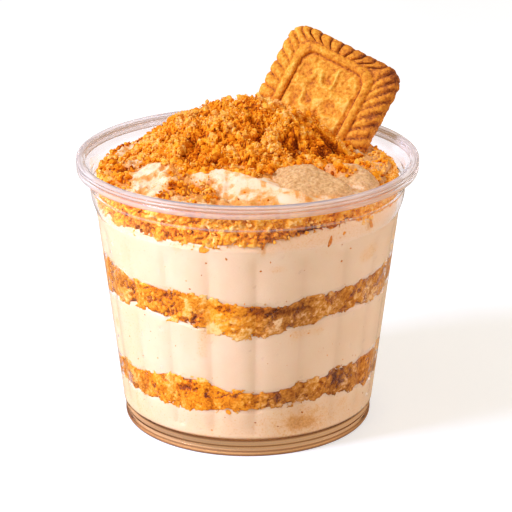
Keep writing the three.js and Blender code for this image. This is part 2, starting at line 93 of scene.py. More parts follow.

# Places on the wall where the crumbs are paler or darker: azimuth, height, half the width in
# # degrees, half the height and the change of tone. The last four, broad and darker, are painted
# # shade over the left and right sides
CRUMB_PATCHES = [
    (-12, 39.5, 6, 3.2, 0.28),
    (9.5, 43.2, 12, 1.4, -0.34),
    (-14, 44, 7, 0.9, -0.3),
    (-3, 40.6, 4, 1.8, 0.24),
    (18.6, 65.3, 5, 1.3, -0.26),
    (32, 65, 14, 0.5, -0.45),
    (60, 66.5, 13, 3.5, 0.1),
    (32, 14.2, 20, 0.7, -0.3),
    (6, 63.2, 5, 1.8, -0.22),
    (-56, 43, 7, 2.5, -0.15),
    (-34, 42, 13, 3, 0.1),
    (-37, 66.8, 8, 0.5, 0.4),
    (-24, 65.6, 6, 0.4, 0.35),
    (-2, 66.6, 5, 0.4, 0.3),
    (-30, 63.2, 4, 1, -0.2),
    (46, 66.5, 9, 2, 0.04),
    (-2, 67, 16, 1.6, 0.1),
    # Painted shade over the left and right sides
    (-42, 65, 24, 5, -0.12),
    (-28, 43, 14, 6, -0.16),
    (-40, 17, 34, 6, -0.16),
    (40, 18, 26, 6, -0.14),
]

# Smears of crumbs and moisture in the cream at the wall: azimuth, height, half the width in
# # degrees, half the height and strength. The broad ones low down and the tall one on the far left
# # are painted shade: darker towards the bottom and on the far left
SMEARS_AND_SHADE = [
    (24, 9.2, 5.5, 1.6, 0.95),
    (24, 10, 16, 5, 0.22),
    (-60, 40, 15, 45, 0.12),
    (24, 8, 40, 9, 0.1),
    (0, 6, 400, 7, 0.1),
    (20, 10.5, 2, 0.8, 0.35),
    (11, 55.1, 3, 0.9, 0.3),
    (5.6, 60.4, 1, 1.6, 0.5),
    (51, 63, 2, 2, 0.45),
    (48.6, 17, 3, 1, 0.25),
    (-30, 47.5, 5, 0.8, 0.2),
]

# Crumbs that stuck to the wall in front of the cream: azimuth, height, width, height and tone
SPECKS = [
    (-15.7, 60.3, 3, 1.9, 0.6),
    (-20.5, 60.2, 0.8, 0.6, 0.7),
    (31.2, 61, 1.1, 2.3, 0.42),
    (5.6, 61.6, 1.2, 1.4, 0.4),
    (37.5, 62.6, 0.9, 1.2, 0.5),
    (50.5, 65.2, 1.6, 2, 0.5),
    (51.8, 62.2, 1.3, 2.6, 0.48),
    (-7.8, 58.2, 0.8, 0.6, 0.35),
    (36.7, 59.4, 0.5, 0.5, 0.3),
    (-22.4, 48.7, 0.8, 0.5, 0.3),
    (4.8, 54.8, 0.8, 0.6, 0.3),
    (37.5, 54.7, 0.6, 0.5, 0.35),
    (-42.9, 33.5, 0.5, 0.4, 0.35),
    (3.3, 10.2, 0.9, 0.5, 0.3),
    (-8.7, 13.4, 1.5, 1.7, 0.55),
    (24.5, 12.2, 0.5, 0.5, 0.3),
]

# Heights at which each layer begins on the wall, every 30 degrees of azimuth from the front
CRUMB_ONE = {"heights": [13.5, 15.4, 13.2, 14.5, 13, 14.2, 12.8, 14, 13.2, 13.8, 13, 13.2], "seed": 1}
CREAM_TWO = {"heights": [19.8, 22, 23.6, 22.5, 21, 22.5, 21, 20, 22, 21, 20.2, 22.8], "seed": 2}
CRUMB_TWO = {"heights": [35.2, 38.3, 39, 40.5, 38, 36.5, 37.5, 39, 38, 36.8, 38.6, 38.6], "seed": 4}
CREAM_THREE = {"heights": [45.3, 46.2, 48, 48.5, 47, 46, 47.5, 48.5, 47.5, 49.5, 48.2, 47.6], "seed": 5}
CRUMB_THREE = {
    "heights": [61.3, 64.2, 63.8, 63.6, 62.5, 61.5, 62.5, 63.5, 62.5, 61.8, 61.2, 60.9],
    "seed": 7,
}
RAGGEDNESS = 0.35

# Points round the food's surfaces, and rows of them
CRUMB_SECTORS, CRUMB_ROWS = 720, 35
CREAM_SECTORS, CREAM_ROWS = 420, 32
TOP_SECTORS, TOP_ROWS = 440, 112
HEAP_SECTORS, HEAP_ROWS = 360, 95
INMOST_SHARE = 0.004
CURVE_POINTS = 25

# How far a band goes on past its boundaries, behind its neighbours
CRUMB_OVERLAP = 1.2
CREAM_OVERLAP = 1.0

# Above the wall the food goes straight up, clear of the wider neck. The food's edge under the rim,
# and the bed of the swirled cream
FOOD_LIMIT = 40.4
EDGE_HEIGHT = 69.9
BED_HEIGHT = 69.2

# The swirled cream: a broad swell, and ridges drawn by the back of a spoon. Each curve is given by
# its start, the place that it bends towards and its end
CREAM_EDGE_RADIUS = 38.3
CREAM_EDGE_HEIGHT = 70.9
CREAM_EDGE_FADE = 4
SWELL = {"x": 1, "y": 16, "rise": 7.2, "left": 33.5, "right": 30, "front": 46, "back": 26}
RIDGES = [
    {"curve": [(-26, -13), (-4, -21), (16, -34)], "rise": 3, "front": 6, "back": 3},
    {"curve": [(-31, -3), (-25, -10), (-20, -22)], "rise": 2, "front": 5, "back": 4},
    {"curve": [(-20, 27), (0, 38), (20, 29)], "rise": 2.2, "front": 4, "back": 5},
]

# Dollops along curves: the heights of their crests at the start, middle and end, and how far their
# middle reaches down to its foot in front and behind
DOLLOPS = [
    {"curve": [(21, -12), (29, -9.5), (34, -21.5)],
     "top": (74.6, 75, 72.4), "front": 10, "back": 4},
    {"curve": [(6, -16), (16, -15.5), (27, -27)],
     "top": (74.2, 76.8, 72.8), "front": 13.5, "back": 4},
]
DOLLOP_TIP = 1.5
DOLLOP_FOOT = 71

# The heap of crumbs. Its reach from its centre is given every 30 degrees of azimuth from the front,
# and its dents by x, y, size and depth
HEAP_CENTRE = np.array([-4.0, 8.0, 0.0])
HEAP_REACH = [29.5, 27, 32, 33, 29, 25, 25, 24, 26, 27, 26, 29]
HEAP_DEPTH = 5.6
HEAP_EDGE = 0.7
HEAP_PEAK = {"x": 1, "y": 18, "spread": 20}
HEAP_RELIEF = 0.6
HEAP_DENTS = [
    (-10, 14, 5, 1.8),
    (-1, 17, 4, 1.6),
    (-20.8, 4.5, 1.5, 1.6),
    (-24, 7, 1.3, 1.3),
    (-12.3, -5, 2.2, 1.5),
    (-15.5, -4, 1.6, 1.2),
    (-2, 8.6, 1.6, 1.4),
    (-2.5, -1.5, 1.7, 1.2),
    (1.6, 5, 1.5, 1.3),
]

# Loose crumbs on the heap: name, count, and the smallest and largest radius. Crumbs of the coarse
# radius and more have finer faces
HEAP_CRUMBS = [
    ("heap_crumbs_large", 380, 0.5, 1.1),
    ("heap_crumbs_medium", 1700, 0.3, 0.55),
    ("heap_crumbs_small", 6200, 0.16, 0.34),
]
COARSE_CRUMB = 0.42

# Where crumbs are strewn on the open cream, or kept off it: x, y, size and amount
CRUMB_SPOTS = [
    (-36, 1, 7, 0.7),
    (-33, -10, 5, 0.8),
    (-33, -17, 4, 0.6),
    (-12, -27, 4.5, 1.3),
    (-17, -25, 3, 0.8),
    (-19, -20, 2.6, 0.9),
    (29, -2, 6, 0.8),
    (35, -8, 5, 0.25),
    (36, 6, 5, 0.3),
    (34, -14, 4, 0.5),
    (37, 1, 4, 0.4),
    (-25, -18, 4, -0.9),
    (-13, -20, 3.5, -0.7),
    (-5, -23, 5, -0.8),
    (5, -27, 5, -0.9),
    (14, -34, 5, -0.6),
]

# Where the crumbs on top are darker or paler: x, y, size and change of tone. The darker ones are painted
# shade by the biscuit and in the heap's dents; the paler ones are the crumbs' own colour
CRUMB_SHADES = [
    (16, -3, 7, -0.3),
    (22, 2, 5, -0.25),
    (9, 8, 6, -0.14),
    (38, -2, 9, 0.2),
    (34, 12, 6, 0.15),
    (-20.8, 4.5, 1.7, -0.35),
    (-24, 7, 1.5, -0.3),
    (-12.3, -5, 2.4, -0.35),
    (-15.5, -4, 1.8, -0.3),
    (-2, 8.6, 1.8, -0.3),
    (-2.5, -1.5, 1.9, -0.3),
    (1.6, 5, 1.7, -0.3),
]

# Creases between the dollops that crumbs have filled: x, y and size
CRUMB_CREASES = [
    (19.5, -14, 2.4),
    (23, -14.6, 2.7),
    (26.5, -16, 2.2),
]

# The biscuit, and how it stands: turned about +Z, leaning back, and rolled in its own plane
BISCUIT_WIDTH = 35.6
BISCUIT_LENGTH = 50
BISCUIT_THICKNESS = 7
BISCUIT_FIELD_DEPTH = 0.55
BISCUIT_GROOVE_INSET = 7.3
BISCUIT_VALLEY_INSET = 4.5
BISCUIT_TOP = (28.5, 26, 96.7)
BISCUIT_TURN = -20
BISCUIT_LEAN = -25
BISCUIT_ROLL = 20.8
END_FLUTES = 7
SIDE_FLUTES = 11
CORNER_FLUTES = 3
SAMPLES_PER_FLUTE = 10
RIGHT_SLANT = 1.1
LEFT_SLANT = 0.3
BISCUIT_FRAME_SHIFT = np.array([-0.4, 1.2])
BISCUIT_FRAME_NARROWING = np.array([0.08, 0.0])

# The camera: its place is a distance and a pitch from a point on the cup's axis
VIEW_CENTRE = Vector((0, 0, 38))
VIEW_DISTANCE = 600
VIEW_PITCH = 20.47
VIEW_AIM = Vector((2.25, 0, 44.6))
SENSOR = 36
LENS = 153.9
LIGHT_DISTANCE = 900


# Repeatable noise


def hashed(places, seed):
    """A repeatable random number from 0 to 1 for each row of whole numbers"""
    places = places.astype(np.int64).astype(np.uint32)
    bits = (
        places[..., 0] * np.uint32(0x9E3779B1)
        ^ places[..., 1] * np.uint32(0x85EBCA77)
        ^ places[..., 2] * np.uint32(0xC2B2AE3D)
        ^ np.uint32((seed * 0x27D4EB2F) % 2**32)
    )
    for shift, factor in ((15, 0x2C1B3C6D), (12, 0x297A2D39)):
        bits ^= bits >> np.uint32(shift)
        bits *= np.uint32(factor)
    bits ^= bits >> np.uint32(15)
    return bits / 2.0**32


def noise(points, size, seed):
    """Smooth random values from -1 to 1 that change over a size in millimetres"""
    scaled = points / size
    cell = np.floor(scaled)
    share = ease(scaled - cell)
    total = np.zeros(points.shape[:-1])
    for corner in itertools.product((0, 1), repeat=3):
        weight = np.prod(np.where(corner, share, 1 - share), axis=-1)
        total += weight * hashed(cell + corner, seed)
    return 2 * total - 1


def layered_noise(points, size, seed, layers=3):
    """Noise with finer and fainter noise on it"""
    parts = [noise(points, size / 2**i, seed + i) / 2**i for i in range(layers)]
    return sum(parts) / (2 - 2 ** (1 - layers))


def neighbours(points, size, seed):
    """The 27 cells round each point, each with the way and the distance from the place scattered in
    it, in shares of the size"""
    scaled = points / size
    base = np.floor(scaled)
    for offset in itertools.product((-1, 0, 1), repeat=3):
        cell = base + offset
        away = scaled - cell - np.stack([hashed(cell, seed + i) for i in range(3)], axis=-1)
        yield cell, away, np.linalg.norm(away, axis=-1)


def cells(points, size, seed):
    """Distances to the nearest and second nearest of scattered places, and the nearest one's number"""
    first = np.full(points.shape[:-1], np.inf)
    second = first.copy()
    number = np.zeros_like(first)
    for cell, _, distance in neighbours(points, size, seed):
        nearer = distance < first
        second = np.where(nearer, first, np.minimum(second, distance))
        number = np.where(nearer, hashed(cell, seed + 3), number)
        first = np.where(nearer, distance, first)
    return first, second, number


def chips(points, size, seed):
    """Heights of tilted facets in shares of their size, one facet round each of scattered places"""
    nearest = np.full(points.shape[:-1], np.inf)
    height = np.zeros_like(nearest)
    for cell, away, distance in neighbours(points, size, seed):
        slope_x, slope_y, level = (hashed(cell, seed + i) - 0.5 for i in (4, 5, 6))
        nearer = distance < nearest
        facet = level + 1.4 * (away[..., 0] * slope_x + away[..., 1] * slope_y)
        height = np.where(nearer, facet, height)
        nearest = np.where(nearer, distance, nearest)
    return height


def ease(t):
    """From 0 to 1, gently at both ends"""
    t = np.clip(t, 0, 1)
    return t * t * (3 - 2 * t)


def bell(distance, half):
    """A soft spot: 1 in its middle, falling off over its half width"""
    return np.exp(-((distance / half) ** 2))


def spots(places, x, y):
    """Sum of round soft spots on top: x, y, size and amount"""
    return sum(amount * bell(np.hypot(x - at_x, y - at_y), size) for at_x, at_y, size, amount in places)


def around(values, azimuth):
    """A smooth closed curve through values spaced evenly round the circle"""
    values = np.asarray(values, dtype=float)
    count = len(values)
    place = (np.asarray(azimuth) / 360 % 1) * count
    index = np.floor(place).astype(int)
    t = place - index
    a, b, c, d = (values[(index + step) % count] for step in (-1, 0, 1, 2))
    slope_b = (c - a) / 2
    slope_c = (d - b) / 2
    rise = c - b
    return b + t * (slope_b + t * (3 * rise - 2 * slope_b - slope_c + t * (slope_b + slope_c - 2 * rise)))


def ragged(azimuth, seed):
    """Small unevenness of a boundary round the circle, from about -1 to 1"""
    turns = (7, 11, 17, 23)
    return sum(np.sin(np.radians(azimuth * n) + seed * (i + 2)) for i, n in enumerate(turns)) / 2


def boundary(layer, azimuth):
    return around(layer["heights"], azimuth) + RAGGEDNESS * ragged(azimuth, layer["seed"])


# The cup's wall


def wall_radius(z):
    """The wall's outer radius at a height, without its flutes"""
    rise = (z - WALL_BOTTOM) / (SHOULDER_BOTTOM - WALL_BOTTOM)
    lower = WALL_FOOT_RADIUS + (SHOULDER_RADIUS - WALL_FOOT_RADIUS) * rise
    share = np.clip((z - SHOULDER_BOTTOM) / (NECK_BOTTOM - SHOULDER_BOTTOM), 0, 1)
    upper = SHOULDER_RADIUS + (NECK_RADIUS - SHOULDER_RADIUS) * np.sin(share * np.pi / 2)
    return np.where(z < SHOULDER_BOTTOM, lower, upper)


def flute_inset(azimuth, z):
    """How far the fluted wall stands inside that radius: nothing on a crest, most in a groove"""
    fade = ease((z - WALL_BOTTOM) / FLUTE_FADE) * ease((SHOULDER_BOTTOM - z) / FLUTE_FADE)
    crest = np.abs(np.sin(np.radians((azimuth - FLUTE_TURN) * FLUTE_COUNT / 2)))
    return FLUTE_DEPTH * fade * (1 - crest) ** 1.6


def inner_radius(azimuth, z):
    return wall_radius(z) - flute_inset(azimuth, z) - WALL_THICKNESS


def food_radius(azimuth, z):
    """How far food reaches at a height before it is pressed into the wall"""
    return np.minimum(inner_radius(azimuth, z), FOOD_LIMIT)


def polar(azimuth, radius, z):
    angle = np.radians(azimuth)
    return np.stack(np.broadcast_arrays(radius * np.sin(angle), -radius * np.cos(angle), z), axis=-1)


def sector_azimuths(count):
    return np.arange(count) * 360 / count


def rows_between(first, last, count):
    """Evenly spaced values, one for each row of a grid"""
    return np.linspace(first, last, count)[:, None]


def azimuth_of(x, y):
    return np.degrees(np.arctan2(x, -y))


def signed(azimuth):
    """The same azimuth between -180 and 180"""
    return (azimuth + 180) % 360 - 180


def level_points(x, y):
    return np.stack([x, y, 0 * x], axis=-1)


def raised(points, height):
    return points + height[..., None] * np.array([0, 0, 1])


# Meshes


def ring_faces(rows, columns):
    """Faces of a closed solid over rings, between one point below and one point above"""
    here = np.arange(columns)
    following = (here + 1) % columns
    row = 1 + np.arange(rows - 1)[:, None] * columns
    sides = np.stack([row + here, row + following, row + columns + following, row + columns + here], axis=-1)
    below = np.stack([0 * here, 1 + following, 1 + here], axis=-1)
    above = 1 + (rows - 1) * columns + np.stack([here, following, 0 * here + columns], axis=-1)
    return sides.reshape(-1, 4).tolist() + below.tolist() + above.tolist()


def add_mesh(name, points, faces, material):
    mesh = bpy.data.meshes.new(name)
    mesh.from_pydata((np.asarray(points) * MM).tolist(), [], faces)
    mesh.materials.append(material)
    piece = bpy.data.objects.new(name, mesh)
    bpy.context.scene.collection.objects.link(piece)
    return piece


def add_piece(name, points, faces, slot, replaces=None, smooth=True, **fields):
    """A piece from points in millimetres, with named values kept at its points for its material"""
    piece = add_mesh(name, points, faces, LOOKS[slot])
    for field, values in fields.items():
        kept = piece.data.attributes.new(field, "FLOAT", "POINT")
        kept.data.foreach_set("value", np.broadcast_to(values, len(points)).astype(np.float32))
    piece.data.polygons.foreach_set("use_smooth", np.full(len(faces), smooth))
    piece.data.update()
    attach(piece, "root")
    if replaces:
        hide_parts(replaces)


def add_solid(name, node, slot, bottom, rings, top, **fields):
    """A closed piece over rings of points, between one point below and one above. Each field gives
    its values below, on the rings and above"""
    rows, columns = rings.shape[:2]
    for field, (below, own, above) in fields.items():
        fields[field] = np.concatenate([[below], np.broadcast_to(own, (rows, columns)).ravel(), [above]])
    points = np.concatenate([[bottom], rings.reshape(-1, 3), [top]])
    add_piece(name, points, ring_faces(rows, columns), slot, node, **fields)


# Materials


def new_material(name):
    material = bpy.data.materials.new(name)
    material.use_nodes = True
    return material, material.node_tree, material.node_tree.nodes["Principled BSDF"]


def fill(node, inputs):
    """Sets a node's inputs to values and colours, or joins them to the outputs given"""
    for key, value in inputs.items():
        socket = node.inputs[key]
        if isinstance(value, bpy.types.NodeSocket):
            node.id_data.links.new(value, socket)
        elif socket.type == "RGBA":
            socket.default_value = (*value, 1)
        else:
            socket.default_value = value


def add_node(tree, kind, inputs=None, **settings):
    node = tree.nodes.new("ShaderNode" + kind)
    for key, value in settings.items():
        setattr(node, key, value)
    fill(node, inputs or {})
    return node


def noise_texture(tree, size, detail=3, roughness=0.55):
    """Noise over the object's own coordinates, with its coarsest size in millimetres"""
    place = add_node(tree, "TexCoord").outputs["Object"]
    inputs = {"Vector": place, "Scale": 1 / (size * MM), "Detail": detail, "Roughness": roughness}
    return add_node(tree, "TexNoise", inputs).outputs["Fac"]


def kept_value(tree, name):
    """A value that was kept at the mesh's points"""
    return add_node(tree, "Attribute", attribute_name=name).outputs["Fac"]


def calculate(operation, *values, clamp=False):
    """A calculation on values, the first of which is another node's output"""
    inputs = dict(enumerate(values))
    return add_node(values[0].id_data, "Math", inputs, operation=operation, use_clamp=clamp).outputs[0]


def ramp(factor, stops):
    """Colours or greys at places from 0 to 1"""
    node = add_node(factor.id_data, "ValToRGB", {"Fac": factor})
    elements = node.color_ramp.elements
    while len(elements) < len(stops):
        elements.new(0.5)
    for element, (place, colour) in zip(elements, stops.items()):
        element.position = place
        element.color = (*colour, 1) if isinstance(colour, tuple) else (colour, colour, colour, 1)
    return node.outputs["Color"]


def mixed(factor, first, second):
    return add_node(factor.id_data, "Mix", {0: factor, 6: first, 7: second}, data_type="RGBA").outputs[2]


def bump(height, strength, depth):
    inputs = {"Height": height, "Strength": strength, "Distance": depth * MM}
    return add_node(height.id_data, "Bump", inputs).outputs["Normal"]


def crumb_material():
    """Dry crushed biscuit. Its tone runs from painted shade between crumbs to pale fresh breaks, and
    crumbs with the damp look are browner and duller: moisture from the cream, and painted light by side"""
    material, tree, shader = new_material("crushed_biscuit")
    grain = noise_texture(tree, 0.6, detail=4, roughness=0.75)
    tone = calculate("ADD", kept_value(tree, "tone"), calculate("SUBTRACT", grain, 0.5), clamp=True)
    dry = {
        0: (0.16, 0.022, 0.001),
        0.2: (0.45, 0.085, 0.001),
        0.4: (0.78, 0.22, 0.003),
        0.6: (0.94, 0.365, 0.01),
        0.8: (0.94, 0.475, 0.052),
        1: (0.97, 0.62, 0.2),
    }
    # The damp colours, duller and browner, are partly moisture and partly a painted reflection veil
    damp_and_veil_colours = {0: (0.1, 0.022, 0.003), 0.3: (0.3, 0.085, 0.01), 0.65: (0.6, 0.245, 0.038), 1: (0.9, 0.61, 0.3)}
    fill(shader, {
        "Base Color": mixed(kept_value(tree, "damp_and_painted_veil"), ramp(tone, dry), ramp(tone, damp_and_veil_colours)),
        "Roughness": ramp(grain, {0.3: 0.98, 0.7: 0.8}),
        "Specular IOR Level": 0.12,
        "Normal": bump(noise_texture(tree, 0.35), 0.5, 0.12),
    })
    return material


def cream_material():
    """Whipped mascarpone cream, satin, with a dusting of fine crumbs and some painted shade by a kept value,
    and a darker copy of its colour at the wall that is painted shade
    """
    material, tree, shader = new_material("whipped_cream")
    cloud = noise_texture(tree, 9, detail=2)
    loose = ramp(cloud, {0.35: (0.93, 0.74, 0.48), 0.65: (0.95, 0.79, 0.54)})
    # Painted shade: the cream at the wall takes a darker, duller copy of its colour
    shaded_at_wall = ramp(cloud, {0.35: (0.85, 0.63, 0.385), 0.65: (0.87, 0.66, 0.422)})
    clean = mixed(kept_value(tree, "shaded_at_wall"), loose, shaded_at_wall)
    dust_and_shade, is_beige = kept_value(tree, "dust_and_shade"), kept_value(tree, "beige")
    speckle = noise_texture(tree, 0.45, detail=4, roughness=0.7)
    dusted = ramp(calculate("MULTIPLY_ADD", dust_and_shade, 0.4, speckle), {0.62: 0, 0.78: 0.85})
    orange = ramp(speckle, {0.4: (0.55, 0.17, 0.02), 0.62: (0.88, 0.4, 0.08)})
    coarse = noise_texture(tree, 0.8, detail=4, roughness=0.7)
    beige = ramp(coarse, {0.36: (0.47, 0.23, 0.065), 0.5: (0.68, 0.405, 0.15), 0.64: (0.83, 0.575, 0.265)})
    darker_tint = mixed(is_beige, (0.95, 0.5, 0.1), (0.74, 0.46, 0.23))
    tinted = mixed(calculate("MULTIPLY", dust_and_shade, 1.1, clamp=True), clean, darker_tint)
    fill(shader, {
        "Base Color": mixed(dusted, tinted, mixed(is_beige, orange, beige)),
        "Roughness": ramp(cloud, {0.3: 0.42, 0.7: 0.55}),
        "Specular IOR Level": 0.22,
        "Subsurface Weight": 0.3,
        "Subsurface Radius": (1.0, 0.55, 0.3),
        "Subsurface Scale": 2.5 * MM,
        "Normal": bump(noise_texture(tree, 1.2), 0.25, 0.15),
    })
    return material


def biscuit_material():
    """Baked biscuit: golden, with painted shade in its grooves and painted light on its ridges, and a fine
    grain
    """
    material, tree, shader = new_material("baked_biscuit")
    grain = noise_texture(tree, 0.8, detail=4, roughness=0.65)
    tone = calculate("ADD", kept_value(tree, "tone"), calculate("MULTIPLY_ADD", grain, 1.5, -0.98))
    tone = calculate("MULTIPLY_ADD", noise_texture(tree, 4), 0.5, tone, clamp=True)
    baked = {
        0: (0.2, 0.04, 0.004),
        0.25: (0.48, 0.13, 0.01),
        0.5: (0.77, 0.27, 0.012),
        0.75: (0.92, 0.425, 0.03),
        1: (0.98, 0.61, 0.11),
    }
    fill(shader, {
        "Base Color": ramp(tone, baked),
        "Roughness": ramp(grain, {0.3: 0.85, 0.7: 0.6}),
        "Specular IOR Level": 0.35,
        "Normal": bump(noise_texture(tree, 0.7, detail=4, roughness=0.65), 1.0, 0.32),
    })
    return material


def plastic_material():
    """Clear thin plastic that lets the lamps' light through, with a painted highlight, a milky white
    layer on its rim, bead and foot, and painted shade in its grooves and brown round the foot"""
    material, tree, shader = new_material("clear_plastic")
    wave = noise_texture(tree, 14, detail=1)
    painted_glint = ramp(wave, {0.3: (0.92, 0.9, 0.85), 0.7: (0.95, 0.93, 0.88)})
    fill(shader, {"Base Color": painted_glint, "Roughness": 0.2})
    tints = {0: (0.985, 0.965, 0.96), 0.5: (0.74, 0.62, 0.53), 0.7: (0.9, 0.66, 0.4), 1: (0.3, 0.12, 0.035)}
    # Painted shade: the tint value makes the glass darker and browner at the grooves and the foot
    tint = ramp(kept_value(tree, "darker_tint"), tints)
    inputs = {"Color": tint, "Roughness": 0.02, "IOR": 1.25, "Normal": bump(wave, 0.12, 0.5)}
    glass = add_node(tree, "BsdfGlass", inputs).outputs[0]
    # Painted highlight: the milky value mixes in a white layer in place of the rim's reflections
    with_glint = add_node(tree, "MixShader", {0: kept_value(tree, "painted_glint"), 1: glass, 2: shader.outputs[0]})
    clear = add_node(tree, "BsdfTransparent", {"Color": (0.97, 0.95, 0.945)})
    shadow = add_node(tree, "LightPath").outputs["Is Shadow Ray"]
    mix = add_node(tree, "MixShader", {0: shadow, 1: with_glint.outputs[0], 2: clear.outputs[0]})
    fill(tree.nodes["Material Output"], {"Surface": mix.outputs[0]})
    return material


def table_material():
    material, tree, shader = new_material("pale_table")
    cloud = noise_texture(tree, 60, detail=2)
    fill(shader, {
        "Base Color": ramp(cloud, {0.3: (0.56, 0.63, 0.65), 0.7: (0.59, 0.66, 0.68)}),
        "Roughness": 0.9,
        "Emission Color": (1, 1, 1),
        "Emission Strength": 0.56,
    })
    return material


# The material of each slot
LOOKS = {
    "clear_plastic": plastic_material(),
    "cream": cream_material(),
    "crumb": crumb_material(),
    "biscuit": biscuit_material(),
}


# The cup


def curved(start, bend, end, count):
    """Points along a curve that leaves its start and reaches its end in the direction of a bend"""
    t = rows_between(0, 1, count)
    return (1 - t) ** 2 * start + 2 * t * (1 - t) * bend + t**2 * end


def rounded(corners, radius):
    """A line through corners, with each corner but the ends rounded"""
    corners = np.array(corners, dtype=float)
    line = [corners[:1]]
    for before, corner, after in zip(corners, corners[1:], corners[2:]):
        before, after = (
            corner + (end - corner) * min(radius / np.linalg.norm(end - corner), 0.45)
            for end in (before, after)
        )
        line.append(curved(before, corner, after, 3))
    return np.concatenate([*line, corners[-1:]])


def shifted(radius, z, corners):
    """Corners that are given as distances from a radius and a height"""
    return [(radius + across, z + up) for across, up in corners]


def cup_profile():
    """Radii and heights from the foot's underside up the outside, over the rim and down to the floor"""
    fluted = (WALL_BOTTOM + FLUTE_FADE, SHOULDER_BOTTOM - FLUTE_FADE)
    stops = (WALL_BOTTOM, *fluted, SHOULDER_BOTTOM, NECK_BOTTOM)
    levels = [np.linspace(*ends, endpoint=False) for ends in zip(stops, stops[1:], (6, 13, 6, 8))]
    outer = [(wall_radius(z), z) for z in np.concatenate(levels)[1:]]
    inner = [(radius - WALL_THICKNESS, z) for radius, z in outer[::-1]]
    foot = shifted(FOOT_RADIUS, 0, [
        (-2.6, FLOOR_TOP - WALL_THICKNESS), (-1.9, 0.6), (-1.7, 0), (-0.6, 0), (0, 0.6), (0, 1.8),
        (-0.5, 2.4), (0.1, 3.2), (0.1, 4), (-0.3, 4.8), (WALL_FOOT_RADIUS - FOOT_RADIUS, WALL_BOTTOM),
    ])
    rim = [
        (NECK_RADIUS, NECK_BOTTOM),
        *shifted(NECK_RADIUS, BEAD_HEIGHT, [(0, -0.4), (0.15, 0), (0, 0.4)]),
        *shifted(NECK_RADIUS, SKIRT_BOTTOM, [(0, -0.9), (0.7, 0.6), (2, RIM_SKIRT - 0.8)]),
        *shifted(RIM_RADIUS, SKIRT_BOTTOM, [
            (-0.9, RIM_SKIRT - 0.8), (-0.7, 0), (-0.1, 0.2), (-0.05, 1.2), (-0.4, 1.55), (-0.4, 1.8),
            (0, 2.1), (0, 2.4), (-0.25, 2.6), (-0.25, 2.75), (-0.02, 2.95),
        ]),
        *shifted(RIM_RADIUS, CUP_HEIGHT, [(-0.05, -0.3), (-0.5, 0)]),
        *shifted(NECK_RADIUS, CUP_HEIGHT, [(1.9, 0), (1.2, -0.6)]),
        *shifted(NECK_RADIUS, SKIRT_BOTTOM, [(-0.1, 0.3), (-WALL_THICKNESS, -0.9)]),
        (NECK_RADIUS - WALL_THICKNESS, NECK_BOTTOM),
    ]
    inner_foot = WALL_FOOT_RADIUS - WALL_THICKNESS
    floor = [(inner_foot, WALL_BOTTOM), *shifted(inner_foot, FLOOR_TOP, [(-0.7, 0.1), (-2, 0)])]
    return np.concatenate([rounded(foot, 0.5), outer, rounded(rim, 0.3), inner, rounded(floor, 0.5)])


def add_cup():
    profile = cup_profile()
    radius, z = profile[:, :1], profile[:, 1:]
    azimuth = sector_azimuths(CUP_SECTORS)
    inset = flute_inset(azimuth, z)
    in_rim = ease((z - SKIRT_BOTTOM + 0.8) / 0.6)
    outside = np.maximum(radius > RIM_RADIUS - 0.65, z > CUP_HEIGHT - 0.4)
    on_lip = in_rim * ease((radius - RIM_RADIUS + 2.6) / 0.8) * outside
    in_groove = sum(share * bell(z - SKIRT_BOTTOM - level, half) for level, half, share in SKIRT_GROOVES)
    in_groove = in_groove * (radius > RIM_RADIUS - 1)
    in_foot = ease((WALL_BOTTOM + 0.2 - z) / 0.5) * (radius > FOOT_RADIUS - 3)
    on_bead = bell(z - BEAD_HEIGHT, 0.3) * (radius > NECK_RADIUS - 0.1)
    streaks = (0.5 + 0.5 * np.sin(4.1 * z + 1.2)) ** 2
    # Painted highlight: the milky value whitens the rim, its lip, the bead and the foot in place of their
    # reflections. Painted shade: the tint value darkens the skirt's grooves and the flute grooves, and
    # browns the foot with streaks in place of the dark seen through it
    painted_glint = 0.1 * in_rim + 0.28 * on_lip * (1 - in_groove) + 0.04 * in_foot + 0.3 * on_bead
    darker_tint = np.maximum(0.5 * in_groove, in_foot * (0.6 + 0.4 * streaks)) + 0.05 * inset / FLUTE_DEPTH
    rings = polar(azimuth, radius - inset, z)
    bottom, top = (0, 0, FLOOR_TOP - WALL_THICKNESS), (0, 0, FLOOR_TOP)
    fields = {"painted_glint": (0, painted_glint, 0), "darker_tint": (0, darker_tint, 0)}
    add_solid("clear_cup", "cup", "clear_plastic", bottom, rings, top, **fields)


# The layers


